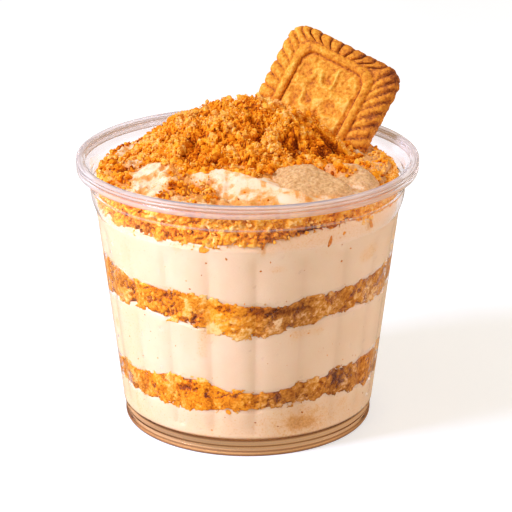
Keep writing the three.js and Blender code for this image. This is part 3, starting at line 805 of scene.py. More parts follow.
def crumb_height(points, inside, seed):
    """Height of crumbs above the level where they touch the wall, and their tone with painted shade in
    its cracks and pits, for points that lie a distance inside the band's nearer boundary"""
    warped = points + 1.1 * noise(points, 1.4, seed)[..., None] * np.array([1, -0.7, 0.8])
    near, far, lump = cells(warped, 3.6, seed + 10)
    open_crack = ease(1.8 * noise(points, 3.2, seed + 15) - 0.2)
    crack = np.clip(1 - (far - near) / 0.16, 0, 1) * open_crack
    grain_near, grain_far, grain = cells(points + 0.35 * (warped - points), 1.15, seed + 20)
    grain_seam = np.clip(1 - (grain_far - grain_near) / 0.22, 0, 1)
    _, _, speck = cells(points, 0.55, seed + 25)
    fine = noise(points, 0.4, seed + 30)
    swell = layered_noise(points, 2.6, seed + 35)
    pit = ease((noise(points, 1.5, seed + 40) - 0.5) / 0.35)
    height = 0.25 + 0.5 * swell - 0.7 * crack - 0.25 * grain_seam + 0.4 * (grain - 0.5) + 0.15 * fine
    height -= 0.5 * pit
    edge = 0.4 - inside - 1.9 * (lump - 0.5) - 0.5 * (grain - 0.5) - 0.9 * swell
    height -= 2.4 * ease(edge / 0.7)
    # Painted shade and light: the tone is darker in cracks, seams and pits and paler on swells; the rest is
    # the crumbs' own random tone
    tone = 0.6 + 0.2 * (lump - 0.5) + 0.36 * (grain - 0.5) + 0.22 * (speck - 0.5) + 0.12 * fine
    tone += 0.22 * swell + 0.2 * (lump > 0.9) - 0.3 * crack - 0.12 * grain_seam - 0.16 * pit
    return height, np.clip(tone, 0, 1)


def patches(places, azimuth, z):
    """Sum of soft spots on the wall"""
    total = 0
    for spot_azimuth, spot_z, half_width, half_height, change in places:
        across = signed(azimuth - spot_azimuth) / half_width
        total = total + change * np.exp(-((across**2 + ((z - spot_z) / half_height) ** 2) ** 1.5))
    return total


def damp_and_veil_share(azimuth, z):
    """How far the crumbs at the wall look damp: a little all round from the cream's moisture, and more on
    the front's right and on the left, which is painted light, a painted reflection veil on those sides
    """
    turned = signed(azimuth)
    right = ease((turned + 12) / 30) * ease((150 - turned) / 40)
    place = polar(azimuth, SHOULDER_RADIUS, z)
    left = ease((-46 - turned) / 14) * ease((turned + 150) / 40)
    return np.clip(0.25 + (0.6 * right + 0.4 * left) * (z < 55) + 0.3 * noise(place, 7, 60), 0, 1)


def on_axis(heights):
    return 0, 0, float(np.mean(heights))


def pressed_crumbs(azimuth, z, inside, seed):
    """The radius at which crumbs are pressed on the wall, and their height over it and tone"""
    wall = food_radius(azimuth, z) + CRUMB_INTO_WALL
    height, tone = crumb_height(polar(azimuth, wall, z), inside, seed)
    return wall, height, tone + patches(CRUMB_PATCHES, azimuth, z)


def add_crumb_layer(name, node, lower, upper):
    """A band of crumbs pressed on the wall, which reaches behind the cream at both boundaries"""
    azimuth = sector_azimuths(CRUMB_SECTORS)
    low, high = boundary(lower, azimuth), boundary(upper, azimuth)
    z = low - CRUMB_OVERLAP + (high - low + 2 * CRUMB_OVERLAP) * rows_between(0, 1, CRUMB_ROWS)
    wall, height, tone = pressed_crumbs(azimuth, z, np.minimum(z - low, high - z), lower["seed"])
    rings = polar(azimuth, wall - np.clip(-height, 0, 2.5), z)
    fields = {"tone": (0.5, tone, 0.5), "damp_and_painted_veil": (0, damp_and_veil_share(azimuth, z), 0)}
    add_solid(name, node, "crumb", on_axis(z[0]), rings, on_axis(z[-1]), **fields)


def add_upper_crumbs():
    """The upper band of crumbs, which turns over at the top into a ring of crumbs under the rim"""
    side_top, side_rows = 69.4, 28
    ring_outer, ring_inner, ring_rows = FOOD_LIMIT + CRUMB_INTO_WALL - 0.5, 36, 18
    azimuth = sector_azimuths(CRUMB_SECTORS)
    low = boundary(CRUMB_THREE, azimuth)
    z = low - CRUMB_OVERLAP + (side_top - low + CRUMB_OVERLAP) * rows_between(0, 1, side_rows)
    wall, height, tone = pressed_crumbs(azimuth, z, z - low, CRUMB_THREE["seed"])
    room = inner_radius(azimuth, z) - food_radius(azimuth, z)
    side = polar(azimuth, wall + np.clip(1.3 * height - 0.35 * ease(room / 0.6), -2.5, room), z)
    radius = rows_between(ring_outer, ring_inner, ring_rows)[1:] + 0 * azimuth
    top_height, top_tone = crumb_height(polar(azimuth, radius, EDGE_HEIGHT), 2.0, 80)
    top = polar(azimuth, radius, EDGE_HEIGHT + 0.25 * ragged(azimuth, 9) + 0.5 * top_height)
    tone = np.concatenate([tone, top_tone + 0.1])
    damp_and_painted_veil = np.concatenate([damp_and_veil_share(azimuth, z), 0 * radius])
    rings, ends = np.concatenate([side, top]), (on_axis(low), on_axis(BED_HEIGHT))
    fields = {"tone": (0.5, tone, 0.5), "damp_and_painted_veil": (0, damp_and_painted_veil, 0)}
    add_solid("upper_crumbs", "crumb_3", "crumb", ends[0], rings, ends[1], **fields)


def add_cream_layer(name, node, lower, upper):
    """A band of cream pressed on the wall, rounded off where it meets the crumbs. The band with no
    layer below it lies on the floor"""
    azimuth = sector_azimuths(CREAM_SECTORS)
    low = boundary(lower, azimuth) if lower else np.full_like(azimuth, -np.inf)
    high = boundary(upper, azimuth)
    start = np.maximum(low - CREAM_OVERLAP, FLOOR_TOP - CREAM_INTO_WALL)
    z = start + (high + CREAM_OVERLAP - start) * rows_between(0, 1, CREAM_ROWS)
    wall = food_radius(azimuth, z) + CREAM_INTO_WALL
    place = polar(azimuth, wall, z)
    near_edge = np.clip((0.9 - np.minimum(z - low, high - z)) / 1.9, 0, 1) ** 1.5
    rounding = 0.8 * (0.6 + 0.5 * noise(place, 5, 90)) * near_edge
    bubble, _, number = cells(place, 3.1, 95)
    pit = 0.5 * np.clip(1 - bubble / (0.22 * number), 0, 1) * (number > 0.55)
    corner = 1.2 * np.clip(WALL_BOTTOM + 0.3 - z, 0, 1) ** 2
    rings = polar(azimuth, wall - 0.7 * rounding - pit - corner, z)
    # The smears also carry painted shade, darker towards the bottom and on the far left
    smear_and_shade = np.clip(1.2 * noise(place, 6, 97) - 0.75, 0, 0.3) + 0.25 * ease((z - SHOULDER_BOTTOM) / 2)
    smear_and_shade = smear_and_shade + patches(SMEARS_AND_SHADE, azimuth, z) * (1 + 0.4 * noise(place, 0.8, 98))
    fields = {"dust_and_shade": (0, smear_and_shade, 0), "beige": (0.45, 0.45, 0.45), "shaded_at_wall": (1, 1, 1)}
    add_solid(name, node, "cream", on_axis(z[0]), rings, on_axis(z[-1]), **fields)


def add_specks():
    """Crumbs pressed flat between the cream and the wall: the ones placed, and scattered fine ones"""
    random = np.random.default_rng(seed=24)
    count, highest, thickness = 260, 62, 0.7
    azimuth = random.uniform(0, 360, count)
    z = random.uniform(WALL_BOTTOM + 1, highest, count)
    size = 0.22 + 0.4 * random.uniform(0, 1, count) ** 4
    height = size * random.uniform(0.7, 1.2, count)
    fine = np.stack([azimuth, z, size, height, random.uniform(0.25, 0.6, count)], axis=-1)
    azimuth, z, width, height, tone = np.concatenate([SPECKS, fine]).T
    points, faces = crumbs(np.zeros((len(z), 3)), np.ones(len(z)), random, 2)
    points *= np.stack([width, 0 * width + thickness, height], axis=-1)[:, None, :] / 2
    across, out, up = np.moveaxis(points, -1, 0)
    radius = food_radius(azimuth, z)[:, None] + np.clip(out, -1, SPECK_INTO_WALL)
    place = polar(azimuth[:, None] + azimuth_of(across, -radius), radius, z[:, None] + up)
    fields = {"tone": np.repeat(tone, place.shape[1]), "damp_and_painted_veil": 0.3}
    add_piece("side_specks", place.reshape(-1, 3), faces, "crumb", smooth=False, **fields)


# The swirled cream on top


def distance_to_curve(ridge, x, y):
    """Distance to a ridge's curve, with the y and the share along the curve of its nearest point"""
    curve = curved(*ridge["curve"], CURVE_POINTS)
    best = np.full(x.shape, np.inf)
    nearest_y, nearest_share = np.zeros((2, *x.shape))
    for i, (a, b) in enumerate(zip(curve, curve[1:])):
        along = b - a
        share = np.clip(((x - a[0]) * along[0] + (y - a[1]) * along[1]) / (along @ along), 0, 1)
        own_y = a[1] + share * along[1]
        distance = np.hypot(x - a[0] - share * along[0], y - own_y)
        nearer = distance < best
        nearest_y = np.where(nearer, own_y, nearest_y)
        nearest_share = np.where(nearer, (i + share) / (len(curve) - 1), nearest_share)
        best = np.where(nearer, distance, best)
    return best, nearest_y, nearest_share


def cream_height(x, y):
    across = (x - SWELL["x"]) / np.where(x < SWELL["x"], SWELL["left"], SWELL["right"])
    along = (y - SWELL["y"]) / np.where(y < SWELL["y"], SWELL["front"], SWELL["back"])
    rise = SWELL["rise"] * np.clip(1 - across**2 - along**2, 0, None)
    for ridge in RIDGES:
        distance, nearest_y, _ = distance_to_curve(ridge, x, y)
        width = np.where(y < nearest_y, ridge["front"], ridge["back"])
        rise = rise + ridge["rise"] * np.exp(-((distance / width) ** 1.3))
    inside = ease((CREAM_EDGE_RADIUS + 0.5 - np.hypot(x, y)) / CREAM_EDGE_FADE)
    height = CREAM_EDGE_HEIGHT + rise * inside
    for dollop in DOLLOPS:
        height = np.maximum(height, dollop_height(dollop, x, y, inside))
    return height


def dollop_height(dollop, x, y, inside):
    """Height of a dollop of cream with a crisp crest, or its foot's height beside it"""
    distance, width, share = dollop_reach(dollop, x, y)
    top = np.interp(share, (0, 0.5, 1), dollop["top"])
    slope = np.clip(1 - (distance / width) ** 1.5, 0, 1) ** 0.75
    return DOLLOP_FOOT + (top - DOLLOP_FOOT) * slope * (0.4 + 0.6 * inside)


def dollop_reach(dollop, x, y):
    """Distance to a dollop's crest, how far its side reaches there, and the share along the crest"""
    distance, nearest_y, share = distance_to_curve(dollop, x, y)
    width = np.where(y < nearest_y, dollop["front"], dollop["back"])
    return distance, DOLLOP_TIP + (width - DOLLOP_TIP) * np.sin(np.pi * share) ** 0.7, share


def dollop_share(x, y, margin):
    """1 on the dollops, easing to 0 beside them"""
    share = np.zeros(x.shape)
    for dollop in DOLLOPS:
        distance, width, _ = dollop_reach(dollop, x, y)
        share = np.maximum(share, ease((width - distance) / margin))
    return share


def crumb_cover(x, y):
    """How thickly crumbs are strewn on the open cream, from 0 to 1"""
    place = level_points(x, y)
    cover = 0.1 + 0.25 * ease((np.hypot(x, y) - 34) / 4) + 0.3 * noise(place, 5, 140)
    cover += 0.35 * noise(place, 2.2, 141) + spots(CRUMB_SPOTS, x, y)
    cover += 0.9 * ease((1.1 - heap_share(x, y)) / 0.14)
    cover = np.clip(cover - 0.8 * dollop_share(x, y, 1), 0, 1)
    return np.maximum(cover, creased(x, y))


def creased(x, y):
    """Where crumbs fill the creases, from 0 to 1"""
    return np.maximum.reduce([ease(1.4 - np.hypot(x - at[0], y - at[1]) / at[2]) for at in CRUMB_CREASES])


def add_top_cream():
    """The swirled cream, rough and crumby where it isn't smoothed"""
    edge_rings = 4
    azimuth = sector_azimuths(TOP_SECTORS)
    reach = CREAM_EDGE_RADIUS + 0.5 * ragged(azimuth, 3)
    share = rows_between(1, INMOST_SHARE, TOP_ROWS)
    flat = polar(azimuth, reach * share, 0)
    x, y = flat[..., 0], flat[..., 1]
    smooth = dollop_share(x, y, 1.5)
    on_right = ease((x - 2) / 4) * ease((-20 - y) / 4)
    rough = ease(0.7 + 0.8 * noise(flat, 9, 41)) * (1 - np.maximum(smooth, on_right))
    crests = 1 - 2 * np.abs(noise(flat, 4.1, 42)) - 1.3 * np.abs(noise(flat, 1.7, 43))
    peaks = 1 - 2.6 * np.abs(noise(flat, 1.25, 48))
    detail = 0.25 * layered_noise(flat, 7, 40) + rough * (0.8 * crests + 0.32 * peaks - 0.3)
    detail += (0.06 + 0.12 * smooth) * noise(flat, 0.9, 44)
    detail -= 0.9 * np.clip((share - 0.965) / 0.035, 0, 1) ** 2
    place = raised(flat, cream_height(x, y) + detail)
    drop = rows_between(1, 0, edge_rings + 1)[:-1]
    skirt = polar(azimuth, reach - 0.6 * drop, place[0, :, 2] - 1.4 * drop)
    dust_and_shade = np.maximum((0.85 - 0.25 * ease((x - 24) / 5)) * smooth, 0.8 * crumb_cover(x, y)) + 0.04
    dust_and_shade += 0.2 * layered_noise(flat, 3, 46) + 0.3 * rough * ease((0.4 - crests) / 0.7)
    front = ease((-27 - y) / 4) * ease((20 - np.abs(x - 4)) / 6) * ease(0.5 + noise(flat, 4, 47))
    patchy = 0.04 + 0.45 * ease(1.8 * noise(flat, 1.4, 49))
    dust_and_shade += (1 - smooth) * (patchy + 0.35 * front + 0.3 * ease((x - 28) / 4)) + creased(x, y)
    beige = np.maximum(smooth, 0.6 * ease((x - 24) / 6)) * (1 - creased(x, y))
    edge = ((edge_rings, 0), (0, 0))
    fields = {
        "dust_and_shade": (0, np.pad(np.clip(dust_and_shade, 0, 1), edge, "edge"), 0.5),
        "beige": (0, np.pad(beige, edge), 0),
        "shaded_at_wall": (0, 0, 0),
    }
    rings, ends = np.concatenate([skirt, place]), (on_axis(BED_HEIGHT), on_axis(place[-1, :, 2]))
    add_solid("swirled_cream", "cream_top", "cream", ends[0], rings, ends[1], **fields)


# The heap of crumbs


def heap_reach(azimuth):
    return around(HEAP_REACH, azimuth) + 1.2 * ragged(azimuth, 6)


def heap_place(azimuth, share):
    return polar(azimuth, heap_reach(azimuth) * share, 0) + HEAP_CENTRE


def heap_share(x, y):
    """How far a place lies from the heap's centre, as a share of the heap's reach that way"""
    x, y = x - HEAP_CENTRE[0], y - HEAP_CENTRE[1]
    return np.hypot(x, y) / heap_reach(azimuth_of(x, y))


def heap_height(x, y, share):
    """Height of the heap's surface, without its crumbs"""
    from_peak = np.hypot(x - HEAP_PEAK["x"], y - HEAP_PEAK["y"]) / HEAP_PEAK["spread"]
    depth = HEAP_EDGE + HEAP_DEPTH * (1 - share**2.4) * np.exp(-(from_peak**2) / 1.6)
    lumps = np.sin(x * 0.61 + 0.9) * np.sin(y * 0.53 + 2.1)
    bumps = np.sin(x * 2.27 - y * 0.98 + 0.4) * np.sin(y * 2.13 + x * 0.74 + 1.3)
    relief = (1 - share**6) * (HEAP_RELIEF * (lumps + bumps) + clumps(x, y))
    return cream_height(x, y) + depth - spots(HEAP_DENTS, x, y) + relief


def clumps(x, y):
    """Clumps of crumbs that stick together, and the clefts between them"""
    large, small = noise(level_points(x, 1.6 * y), 6.5, 131), noise(level_points(x, y), 3.1, 133)
    return 2.6 * np.abs(large) + 1.1 * np.abs(small) + chip_relief(x, y) - 2.4 * clefts(x, y) - 1.1


def chip_relief(x, y):
    """Height of the broken chips of biscuit, large and small, that the crumbs stick to"""
    place = level_points(x, y)
    place = place + 0.9 * noise(place, 2.3, 136)[..., None] * np.array([1, -0.8, 0])
    return 2.2 * chips(place, 5.4, 137) + 1.1 * chips(place, 2.1, 145)


def clefts(x, y):
    """Where the heap has cracked open, from 0 to 1"""
    place = level_points(x, 1.6 * y)
    return bell(noise(place, 6.5, 131), 0.14) * ease(0.2 + 1.5 * noise(place, 7, 132))


def heap_tone_and_shade(place, cleft_shade):
    """Change of the crumbs' tone over the top: painted shade in the clefts, as dark as asked, and on low
    chips, painted light on high chips, and the spots given
    """
    x, y = place[..., 0], place[..., 1]
    facets = 0.22 * np.clip(chip_relief(x, y), -1.2, 1.2)
    return 0.1 * noise(place, 7, 130) - cleft_shade * clefts(x, y) + facets + spots(CRUMB_SHADES, x, y)


def steepness(place):
    """The slope at the points of rings, from each ring to the next one further in"""
    step = np.diff(place, axis=0, append=place[-1:])
    return np.abs(step[..., 2]) / np.maximum(np.hypot(step[..., 0], step[..., 1]), 0.05)


def add_heap():
    """The heap's core, rough with crumbs of all sizes"""
    azimuth = sector_azimuths(HEAP_SECTORS)
    share = rows_between(1, INMOST_SHARE, HEAP_ROWS)
    flat = heap_place(azimuth, share)
    x, y = flat[..., 0], flat[..., 1]
    place = raised(flat, heap_height(x, y, share))
    relief, tone = crumb_height(place, 3.0, 120)
    edge = ease((1 - share) / 0.06)
    place = raised(place, edge * (0.75 * relief - 0.5) - (1 - edge) * 0.9)
    below = raised(flat[:1], cream_height(x[:1], y[:1]) - 1.5)
    # Painted shade: darker in the clefts, on low chips and on steep sides, so that they read as shaded
    shade = 0.06 + heap_tone_and_shade(place, 0.6) - 0.4 * ease((steepness(place) - 0.9) / 1.6)
    tone = np.concatenate([tone[:1], np.clip(tone + shade, 0, 1)])
    bottom = (*HEAP_CENTRE[:2], below[..., 2].min())
    top = (*HEAP_CENTRE[:2], place[-1, :, 2].mean())
    fields = {"tone": (0.3, tone, 0.5), "damp_and_painted_veil": (0, 0, 0)}
    rings = np.concatenate([below, place])
    add_solid("crumb_heap", "crumb_mound", "crumb", bottom, rings, top, **fields)


def ball(subdivisions):
    """Directions and faces of a sphere of triangles"""
    form = bmesh.new()
    bmesh.ops.create_icosphere(form, subdivisions=subdivisions, radius=1)
    directions = np.array([vertex.co[:] for vertex in form.verts])
    faces = np.array([[vertex.index for vertex in face.verts] for face in form.faces])
    form.free()
    return directions, faces


def unit(vectors):
    return vectors / np.linalg.norm(vectors, axis=-1, keepdims=True)


def random_turns(count, random):
    """Rotation matrices spread evenly over all directions"""
    w, x, y, z = unit(random.normal(size=(count, 4))).T
    rows = [
        [1 - 2 * (y * y + z * z), 2 * (x * y - w * z), 2 * (x * z + w * y)],
        [2 * (x * y + w * z), 1 - 2 * (x * x + z * z), 2 * (y * z - w * x)],
        [2 * (x * z - w * y), 2 * (y * z + w * x), 1 - 2 * (x * x + y * y)],
    ]
    return np.moveaxis(np.array(rows), 2, 0)


def crumbs(centres, radii, random, subdivisions, first=0):
    """Joined meshes of broken crumbs: balls cut by random planes, stretched and turned. Their points
    are numbered from the first"""
    directions, faces = ball(subdivisions)
    count, plane_count, most = len(centres), 7, 1.3
    planes = unit(random.normal(size=(count, plane_count, 3)))
    offsets = random.uniform(0.38, 0.98, size=(count, 1, plane_count))
    facing = np.einsum("vk,npk->nvp", directions, planes)
    reach = np.where(facing > 0.05, offsets / np.maximum(facing, 0.05), most).min(axis=-1)
    reach = np.minimum(reach, most) * random.uniform(0.9, 1.12, size=reach.shape)
    stretch = random.uniform(0.6, 1.4, size=(count, 1, 3))
    points = directions * reach[..., None] * stretch * radii[:, None, None]
    points = np.einsum("nij,nvj->nvi", random_turns(count, random), points) + centres[:, None, :]
    starts = first + np.arange(count)[:, None, None] * len(directions)
    return points, (faces[None] + starts).reshape(-1, 3).tolist()


def add_crumbs(name, centres, radii, random, shade=0):
    """A piece of many crumbs, the finest with fewer faces, that stop at the wall. Most are golden,
    some pale, and painted shade makes some darker in clefts, on low chips and in dents"""
    tones = random.normal(0.63, 0.085, len(centres)) + heap_tone_and_shade(centres, 0.5)
    tones = np.clip(np.clip(tones, 0.2, 0.9) + shade, 0.1, 1)
    points, faces, tone, first = [], [], [], 0
    for chosen, subdivisions in ((radii < COARSE_CRUMB, 1), (radii >= COARSE_CRUMB, 2)):
        own, own_faces = crumbs(centres[chosen], radii[chosen], random, subdivisions, first)
        points.append(own.reshape(-1, 3))
        faces += own_faces
        tone.append(np.repeat(tones[chosen], own.shape[1]))
        first += len(points[-1])
    points = np.concatenate(points)
    x, y, z = points.T
    wall = inner_radius(azimuth_of(x, y), z) + CRUMB_INTO_WALL
    points[:, :2] *= np.minimum(1, wall / np.hypot(x, y))[:, None]
    fields = {"tone": np.concatenate(tone), "damp_and_painted_veil": 0}
    add_piece(name, points, faces, "crumb", smooth=False, **fields)


def heap_slope(x, y, share, step=0.3):
    """How steep the heap is at a place"""
    rises = [
        heap_height(x + dx, y + dy, share) - heap_height(x - dx, y - dy, share)
        for dx, dy in ((step, 0), (0, step))
    ]
    return np.hypot(*rises) / (2 * step)


def add_heap_crumbs():
    """Loose crumbs all over the heap, of three sizes, as many on its steep sides as on its flat ones"""
    random = np.random.default_rng(seed=21)
    for name, count, smallest, largest in HEAP_CRUMBS:
        candidates = 3 * count
        azimuth = random.uniform(0, 360, candidates)
        share = np.sqrt(random.uniform(0, 1, candidates))
        place = heap_place(azimuth, share)
        x, y, _ = place.T
        area = np.sqrt(1 + np.minimum(heap_slope(x, y, share), 2.2) ** 2)
        chosen = random.choice(candidates, count, replace=False, p=area / area.sum())
        x, y, share = x[chosen], y[chosen], share[chosen]
        radii = smallest + (largest - smallest) * random.uniform(0, 1, count) ** 1.7
        sunk = 0.8 * ease((share - 0.93) / 0.07) - radii * random.uniform(-0.8, 0.3, count)
        centres = raised(place[chosen], heap_height(x, y, share) - sunk)
        add_crumbs(name, centres, radii, random)


def add_strewn_crumbs():
    """Small crumbs strewn over the open cream, thickest next to the heap"""
    random = np.random.default_rng(seed=22)
    count = 9000
    azimuth = random.uniform(0, 360, count)
    radius = (CREAM_EDGE_RADIUS - 0.6) * np.sqrt(random.uniform(0, 1, count))
    place = polar(azimuth, radius, 0)
    x, y, _ = place.T
    cover = crumb_cover(x, y)
    kept = (heap_share(x, y) > 0.95) & (random.uniform(0, 1, count) < cover**1.3)
    place, cover = place[kept], cover[kept]
    radii = 0.2 + (0.2 + 0.4 * cover) * random.uniform(0, 1, len(place)) ** 2
    lift = 0.2 * radii + 0.8 * cover**2 * random.uniform(0, 1, len(place))
    place = raised(place, cream_height(x[kept], y[kept]) + lift)
    add_crumbs("strewn_crumbs", place, radii, random)


def add_rim_crumbs():
    """Crumbs on the ring between the swirled cream and the wall"""
    random = np.random.default_rng(seed=23)
    count = 1100
    azimuth = random.uniform(0, 360, count)
    radii = 0.25 + 0.35 * random.uniform(0, 1, count) ** 2
    radii *= 1 - 0.4 * ease(1.6 - np.abs(azimuth - 80) / 35)
    radius = random.uniform(CREAM_EDGE_RADIUS - 0.6, FOOD_LIMIT, count)
    radius = np.minimum(radius, FOOD_LIMIT - 1.2 * radii)
    place = polar(azimuth, radius, EDGE_HEIGHT + radii * random.uniform(0, 0.9, count))
    add_crumbs("rim_crumbs", place, radii, random, shade=0.05)


def add_side_crumbs():
    """Loose crumbs in the upper band, where the wider neck doesn't press them flat"""
    random = np.random.default_rng(seed=25)
    count = 950
    azimuth = random.uniform(0, 360, count)
    low = boundary(CRUMB_THREE, azimuth) + 0.5
    z = low + (EDGE_HEIGHT - 0.6 - low) * random.uniform(0, 1, count)
    radii = 0.25 + 0.35 * random.uniform(0, 1, count) ** 2
    place = polar(azimuth, food_radius(azimuth, z) - 0.6 * radii, z)
    add_crumbs("side_crumbs", place, radii, random, shade=patches(CRUMB_PATCHES, azimuth, z))


# The biscuit


def biscuit_outline(inset, radius):
    """Points round the biscuit, drawn in by an inset and rounded, the same number at any inset"""
    half = np.array([BISCUIT_WIDTH, BISCUIT_LENGTH]) / 2 - inset
    outline = []
    for quarter, out in enumerate(np.array([(1, 0), (0, 1), (-1, 0), (0, -1)])):
        along = np.array([-out[1], out[0]])
        flutes = END_FLUTES if quarter % 2 else SIDE_FLUTES
        side, turn = (
            np.linspace(0, 1, number * SAMPLES_PER_FLUTE, endpoint=False)[:, None]
            for number in (flutes, CORNER_FLUTES)
        )
        angle = np.radians(90 * (quarter + turn))
        outline.append(out * half + along * (half - radius) * (2 * side - 1))
        outline.append((out + along) * (half - radius) + radius * np.hstack([np.cos(angle), np.sin(angle)]))
    return np.concatenate(outline)


# Rows from the back's edge round the side to the field: inset, depth behind the front, how far a
# groove between flutes cuts in and down there, and the corner's radius
BISCUIT_ROWS = [
    (6.0, 7.0, 0, 0, 2.5),
    (1.8, 7.0, 0.1, 0, 4.0),
    (0.7, 6.5, 0.2, 0, 4.8),
    (0.15, 5.6, 0.3, 0, 5.2),
    (0.0, 4.6, 0.35, 0, 5.4),
    (0.05, 3.2, 0.4, 0.4, 5.4),
    (0.3, 2.1, 0.45, 0.9, 5.2),
    (0.8, 1.3, 0.4, 1.3, 4.8),
    (1.7, 0.8, 0.3, 1.6, 4.4),
    (2.9, 0.55, 0.15, 1.6, 4.2),
    (3.8, 0.6, 0.05, 1.2, 4.2),
    (4.4, 1.0, 0, 0.35, 4.4),
    (4.8, 0.75, 0, 0.1, 4.6),
    (5.2, 0.25, 0, 0, 4.8),
    (5.8, 0.0, 0, 0, 4.8),
    (6.5, 0.12, 0, 0, 4.6),
    (6.9, 0.5, 0, 0, 4.3),
    (7.2, 1.25, 0, 0, 4.1),
    (7.6, 1.2, 0, 0, 3.9),
    (8.3, 0.8, 0, 0, 3.6),
]


def biscuit_rings():
    """Rings of the rows and of rows halfway between them, with each point's groove and each inset"""
    rows = np.array(BISCUIT_ROWS)
    fine = np.linspace(0, len(rows) - 1, 2 * len(rows) - 1)
    rows = np.stack([np.interp(fine, range(len(rows)), column) for column in rows.T], axis=-1)
    widest = rows[:, 4].max()
    outline = biscuit_outline(0, widest)
    phase = np.arange(len(outline)) / SAMPLES_PER_FLUTE
    side_flute = (BISCUIT_LENGTH - 2 * widest) / SIDE_FLUTES
    sideways = np.clip((np.abs(outline[:, 0]) - BISCUIT_WIDTH / 2) / widest + 1, 0, 1)
    slant = sideways * np.where(outline[:, 0] > 0, RIGHT_SLANT, -LEFT_SLANT)
    rings, grooves = [], []
    for inset, depth, cut_in, cut_down, corner in rows:
        slanted = phase + slant * inset**1.4 / 4**0.4 / side_flute
        groove = 1 - np.abs(np.sin(np.pi * slanted)) ** 0.34
        plain = biscuit_outline(inset, corner)
        cut = biscuit_outline(inset + cut_in, max(0.8, corner - cut_in))
        flat = plain + (cut - plain) * groove[:, None]
        if depth < BISCUIT_THICKNESS / 2:
            share = ease((inset - 1) / 4)
            flat = flat * (1 - BISCUIT_FRAME_NARROWING * share) + BISCUIT_FRAME_SHIFT * share
        rings.append(np.stack([flat[:, 0], depth + cut_down * groove, flat[:, 1]], axis=-1))
        grooves.append(groove * min(1, max(cut_in, cut_down)))
    return np.array(rings), np.array(grooves), rows[:, 0]


def biscuit_relief(rings, in_field):
    """Lumps and pits of the biscuit, with soft meaningless creases in its field"""
    creases = 0.5 - 2.2 * np.abs(noise(rings, 3.4, 153))
    lumps = 0.5 * layered_noise(rings, 2.2, 150) * (0.45 + 0.55 * in_field)
    lumps += 0.75 * np.maximum(creases, -0.4) * in_field
    pit, _, number = cells(rings, 1.5, 155)
    return lumps, 0.4 * np.clip(1 - pit / 0.3, 0, 1) * (number > 0.5)


def biscuit_outward(rings):
    """Directions out of the biscuit's faces, and a little sideways next to its edges"""
    outward = rings - np.array([0, BISCUIT_THICKNESS / 2, 0])
    outward[..., 0] *= (np.abs(rings[..., 0]) > BISCUIT_WIDTH / 2 - 1.5) * 0.2
    outward[..., 2] *= (np.abs(rings[..., 2]) > BISCUIT_LENGTH / 2 - 1.5) * 0.14
    return outward / np.maximum(np.linalg.norm(outward, axis=-1, keepdims=True), 0.5)


def standing(points):
    """Points of the biscuit, moved to where it stands"""
    place = Matrix.Translation(BISCUIT_TOP)
    for angle, axis in ((BISCUIT_TURN, "Z"), (BISCUIT_LEAN, "X"), (BISCUIT_ROLL, "Y")):
        place = place @ Matrix.Rotation(math.radians(angle), 4, axis)
    place = np.array(place @ Matrix.Translation((0, -BISCUIT_THICKNESS / 2, -BISCUIT_LENGTH / 2)))
    return points @ place[:3, :3].T + place[:3, 3]


def add_biscuit():
    back_rows, field_rows = 9, 32
    rings, grooves, inset = biscuit_rings()
    back_middle = np.array([0, BISCUIT_THICKNESS, 0])
    field_middle = np.insert(BISCUIT_FRAME_SHIFT, 1, BISCUIT_FIELD_DEPTH)
    back = back_middle + (rings[0] - back_middle) * np.linspace(0.05, 1, back_rows)[:-1, None, None]
    field = rings[-1] + (field_middle - rings[-1]) * np.linspace(0, 1, field_rows)[1:-1, None, None]
    rings = np.concatenate([back, rings, field])
    in_field = np.repeat([0, 0, 1], [len(back), len(grooves), len(field)])[:, None]
    groove = np.pad(grooves, ((len(back), len(field)), (0, 0)))
    lines = 0.4 * bell(inset - BISCUIT_GROOVE_INSET, 0.3) + 0.25 * bell(inset - BISCUIT_VALLEY_INSET, 0.3)
    lines = np.pad(lines, (len(back), len(field)))[:, None]
    front = ease((4 - rings[..., 1]) / 2)
    lumps, pits = biscuit_relief(rings, in_field)
    relief = lumps + 0.26 * noise(rings, 0.9, 152) - pits
    rings = rings + biscuit_outward(rings) * relief[..., None]
    across, along = rings[..., 0], rings[..., 2]
    browned = ease((along - 17) / 7) * ease((across + 10) / 18) + 0.4 * ease((across - 12) / 4)
    # Painted shade and light in the tone: darker in the grooves, the frame's groove lines and the pits,
    # paler on the lumps, the front faces and the left border; the browning towards the upper right is the
    # bake's own colour
    tone = 0.56 + 0.07 * front * (1 - in_field) - 0.8 * groove - lines * front + 0.12 * in_field
    tone += 0.6 * lumps - 0.6 * pits - 0.24 * browned + 0.1 * ease((-across - 9) / 4)
    fields = {"tone": (0.5, np.clip(tone, 0, 1), 0.6)}
    ends = standing(back_middle), standing(field_middle)
    add_solid("fluted_biscuit", "biscuit", "biscuit", ends[0], standing(rings), ends[1], **fields)


# The table, the light and the camera


def add_table(material):
    half = 2500
    points = [(-half, -half, 0), (half, -half, 0), (half, half, 0), (-half, half, 0)]
    table = add_mesh("table", points, [(0, 1, 2, 3)], material)
    table.visible_diffuse = False
    table.visible_glossy = False
    table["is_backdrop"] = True


def seen_from(azimuth, elevation, distance):
    """A place at a distance from the middle of the view"""
    a, e = math.radians(azimuth), math.radians(elevation)
    outward = Vector((math.sin(a) * math.cos(e), -math.cos(a) * math.cos(e), math.sin(e)))
    return VIEW_CENTRE + distance * outward


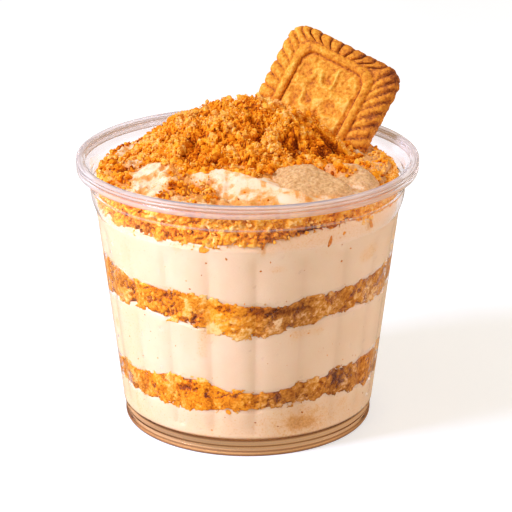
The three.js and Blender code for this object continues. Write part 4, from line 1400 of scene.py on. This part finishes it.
def add_facing(name, data, place, target):
    """A light or camera at a place, turned to its target"""
    thing = bpy.data.objects.new(name, data)
    thing.location = place * MM
    thing.rotation_mode = "QUATERNION"
    thing.rotation_quaternion = (target - place).to_track_quat("-Z", "Y")
    bpy.context.scene.collection.objects.link(thing)
    return thing


def add_light(name, azimuth, elevation, size, power, colour):
    """A soft square light that faces the cup"""
    light = bpy.data.lights.new(name, "AREA")
    light.shape = "SQUARE"
    light.size = size * MM
    light.energy = power
    light.color = colour
    add_facing(name, light, seen_from(azimuth, elevation, LIGHT_DISTANCE), VIEW_CENTRE)


def add_lights():
    add_light("key", azimuth=-66, elevation=38, size=300, power=8.8, colour=(0.83, 0.885, 1.25))
    add_light("fill", azimuth=78, elevation=22, size=400, power=1.8, colour=(1, 0.95, 1.2))
    world = bpy.data.worlds.new("studio")
    world.use_nodes = True
    fill(world.node_tree.nodes["Background"], {"Color": (0.8, 0.59, 0.385), "Strength": 0.66})
    bpy.context.scene.world = world


def add_camera():
    lens = bpy.data.cameras.new("camera")
    lens.sensor_width = SENSOR
    lens.lens = LENS
    lens.clip_start, lens.clip_end = 0.01, 20
    place = seen_from(0, VIEW_PITCH, VIEW_DISTANCE)
    bpy.context.scene.camera = add_facing("camera", lens, place, VIEW_AIM)


add_camera()
add_lights()
add_table(table_material())
add_cup()
add_cream_layer("lower_cream", "cream_1", None, CRUMB_ONE)
add_crumb_layer("lower_crumbs", "crumb_1", CRUMB_ONE, CREAM_TWO)
add_cream_layer("middle_cream", "cream_2", CREAM_TWO, CRUMB_TWO)
add_crumb_layer("middle_crumbs", "crumb_2", CRUMB_TWO, CREAM_THREE)
add_cream_layer("upper_cream", "cream_3", CREAM_THREE, CRUMB_THREE)
add_upper_crumbs()
add_specks()
add_top_cream()
add_heap()
add_heap_crumbs()
add_strewn_crumbs()
add_rim_crumbs()
add_side_crumbs()
add_biscuit()

bpy.context.scene.view_settings.view_transform = "Standard"

boxes = {"cad": cad_box, "visual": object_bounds()}
{name: [list(corner) for corner in box] for name, box in boxes.items()}
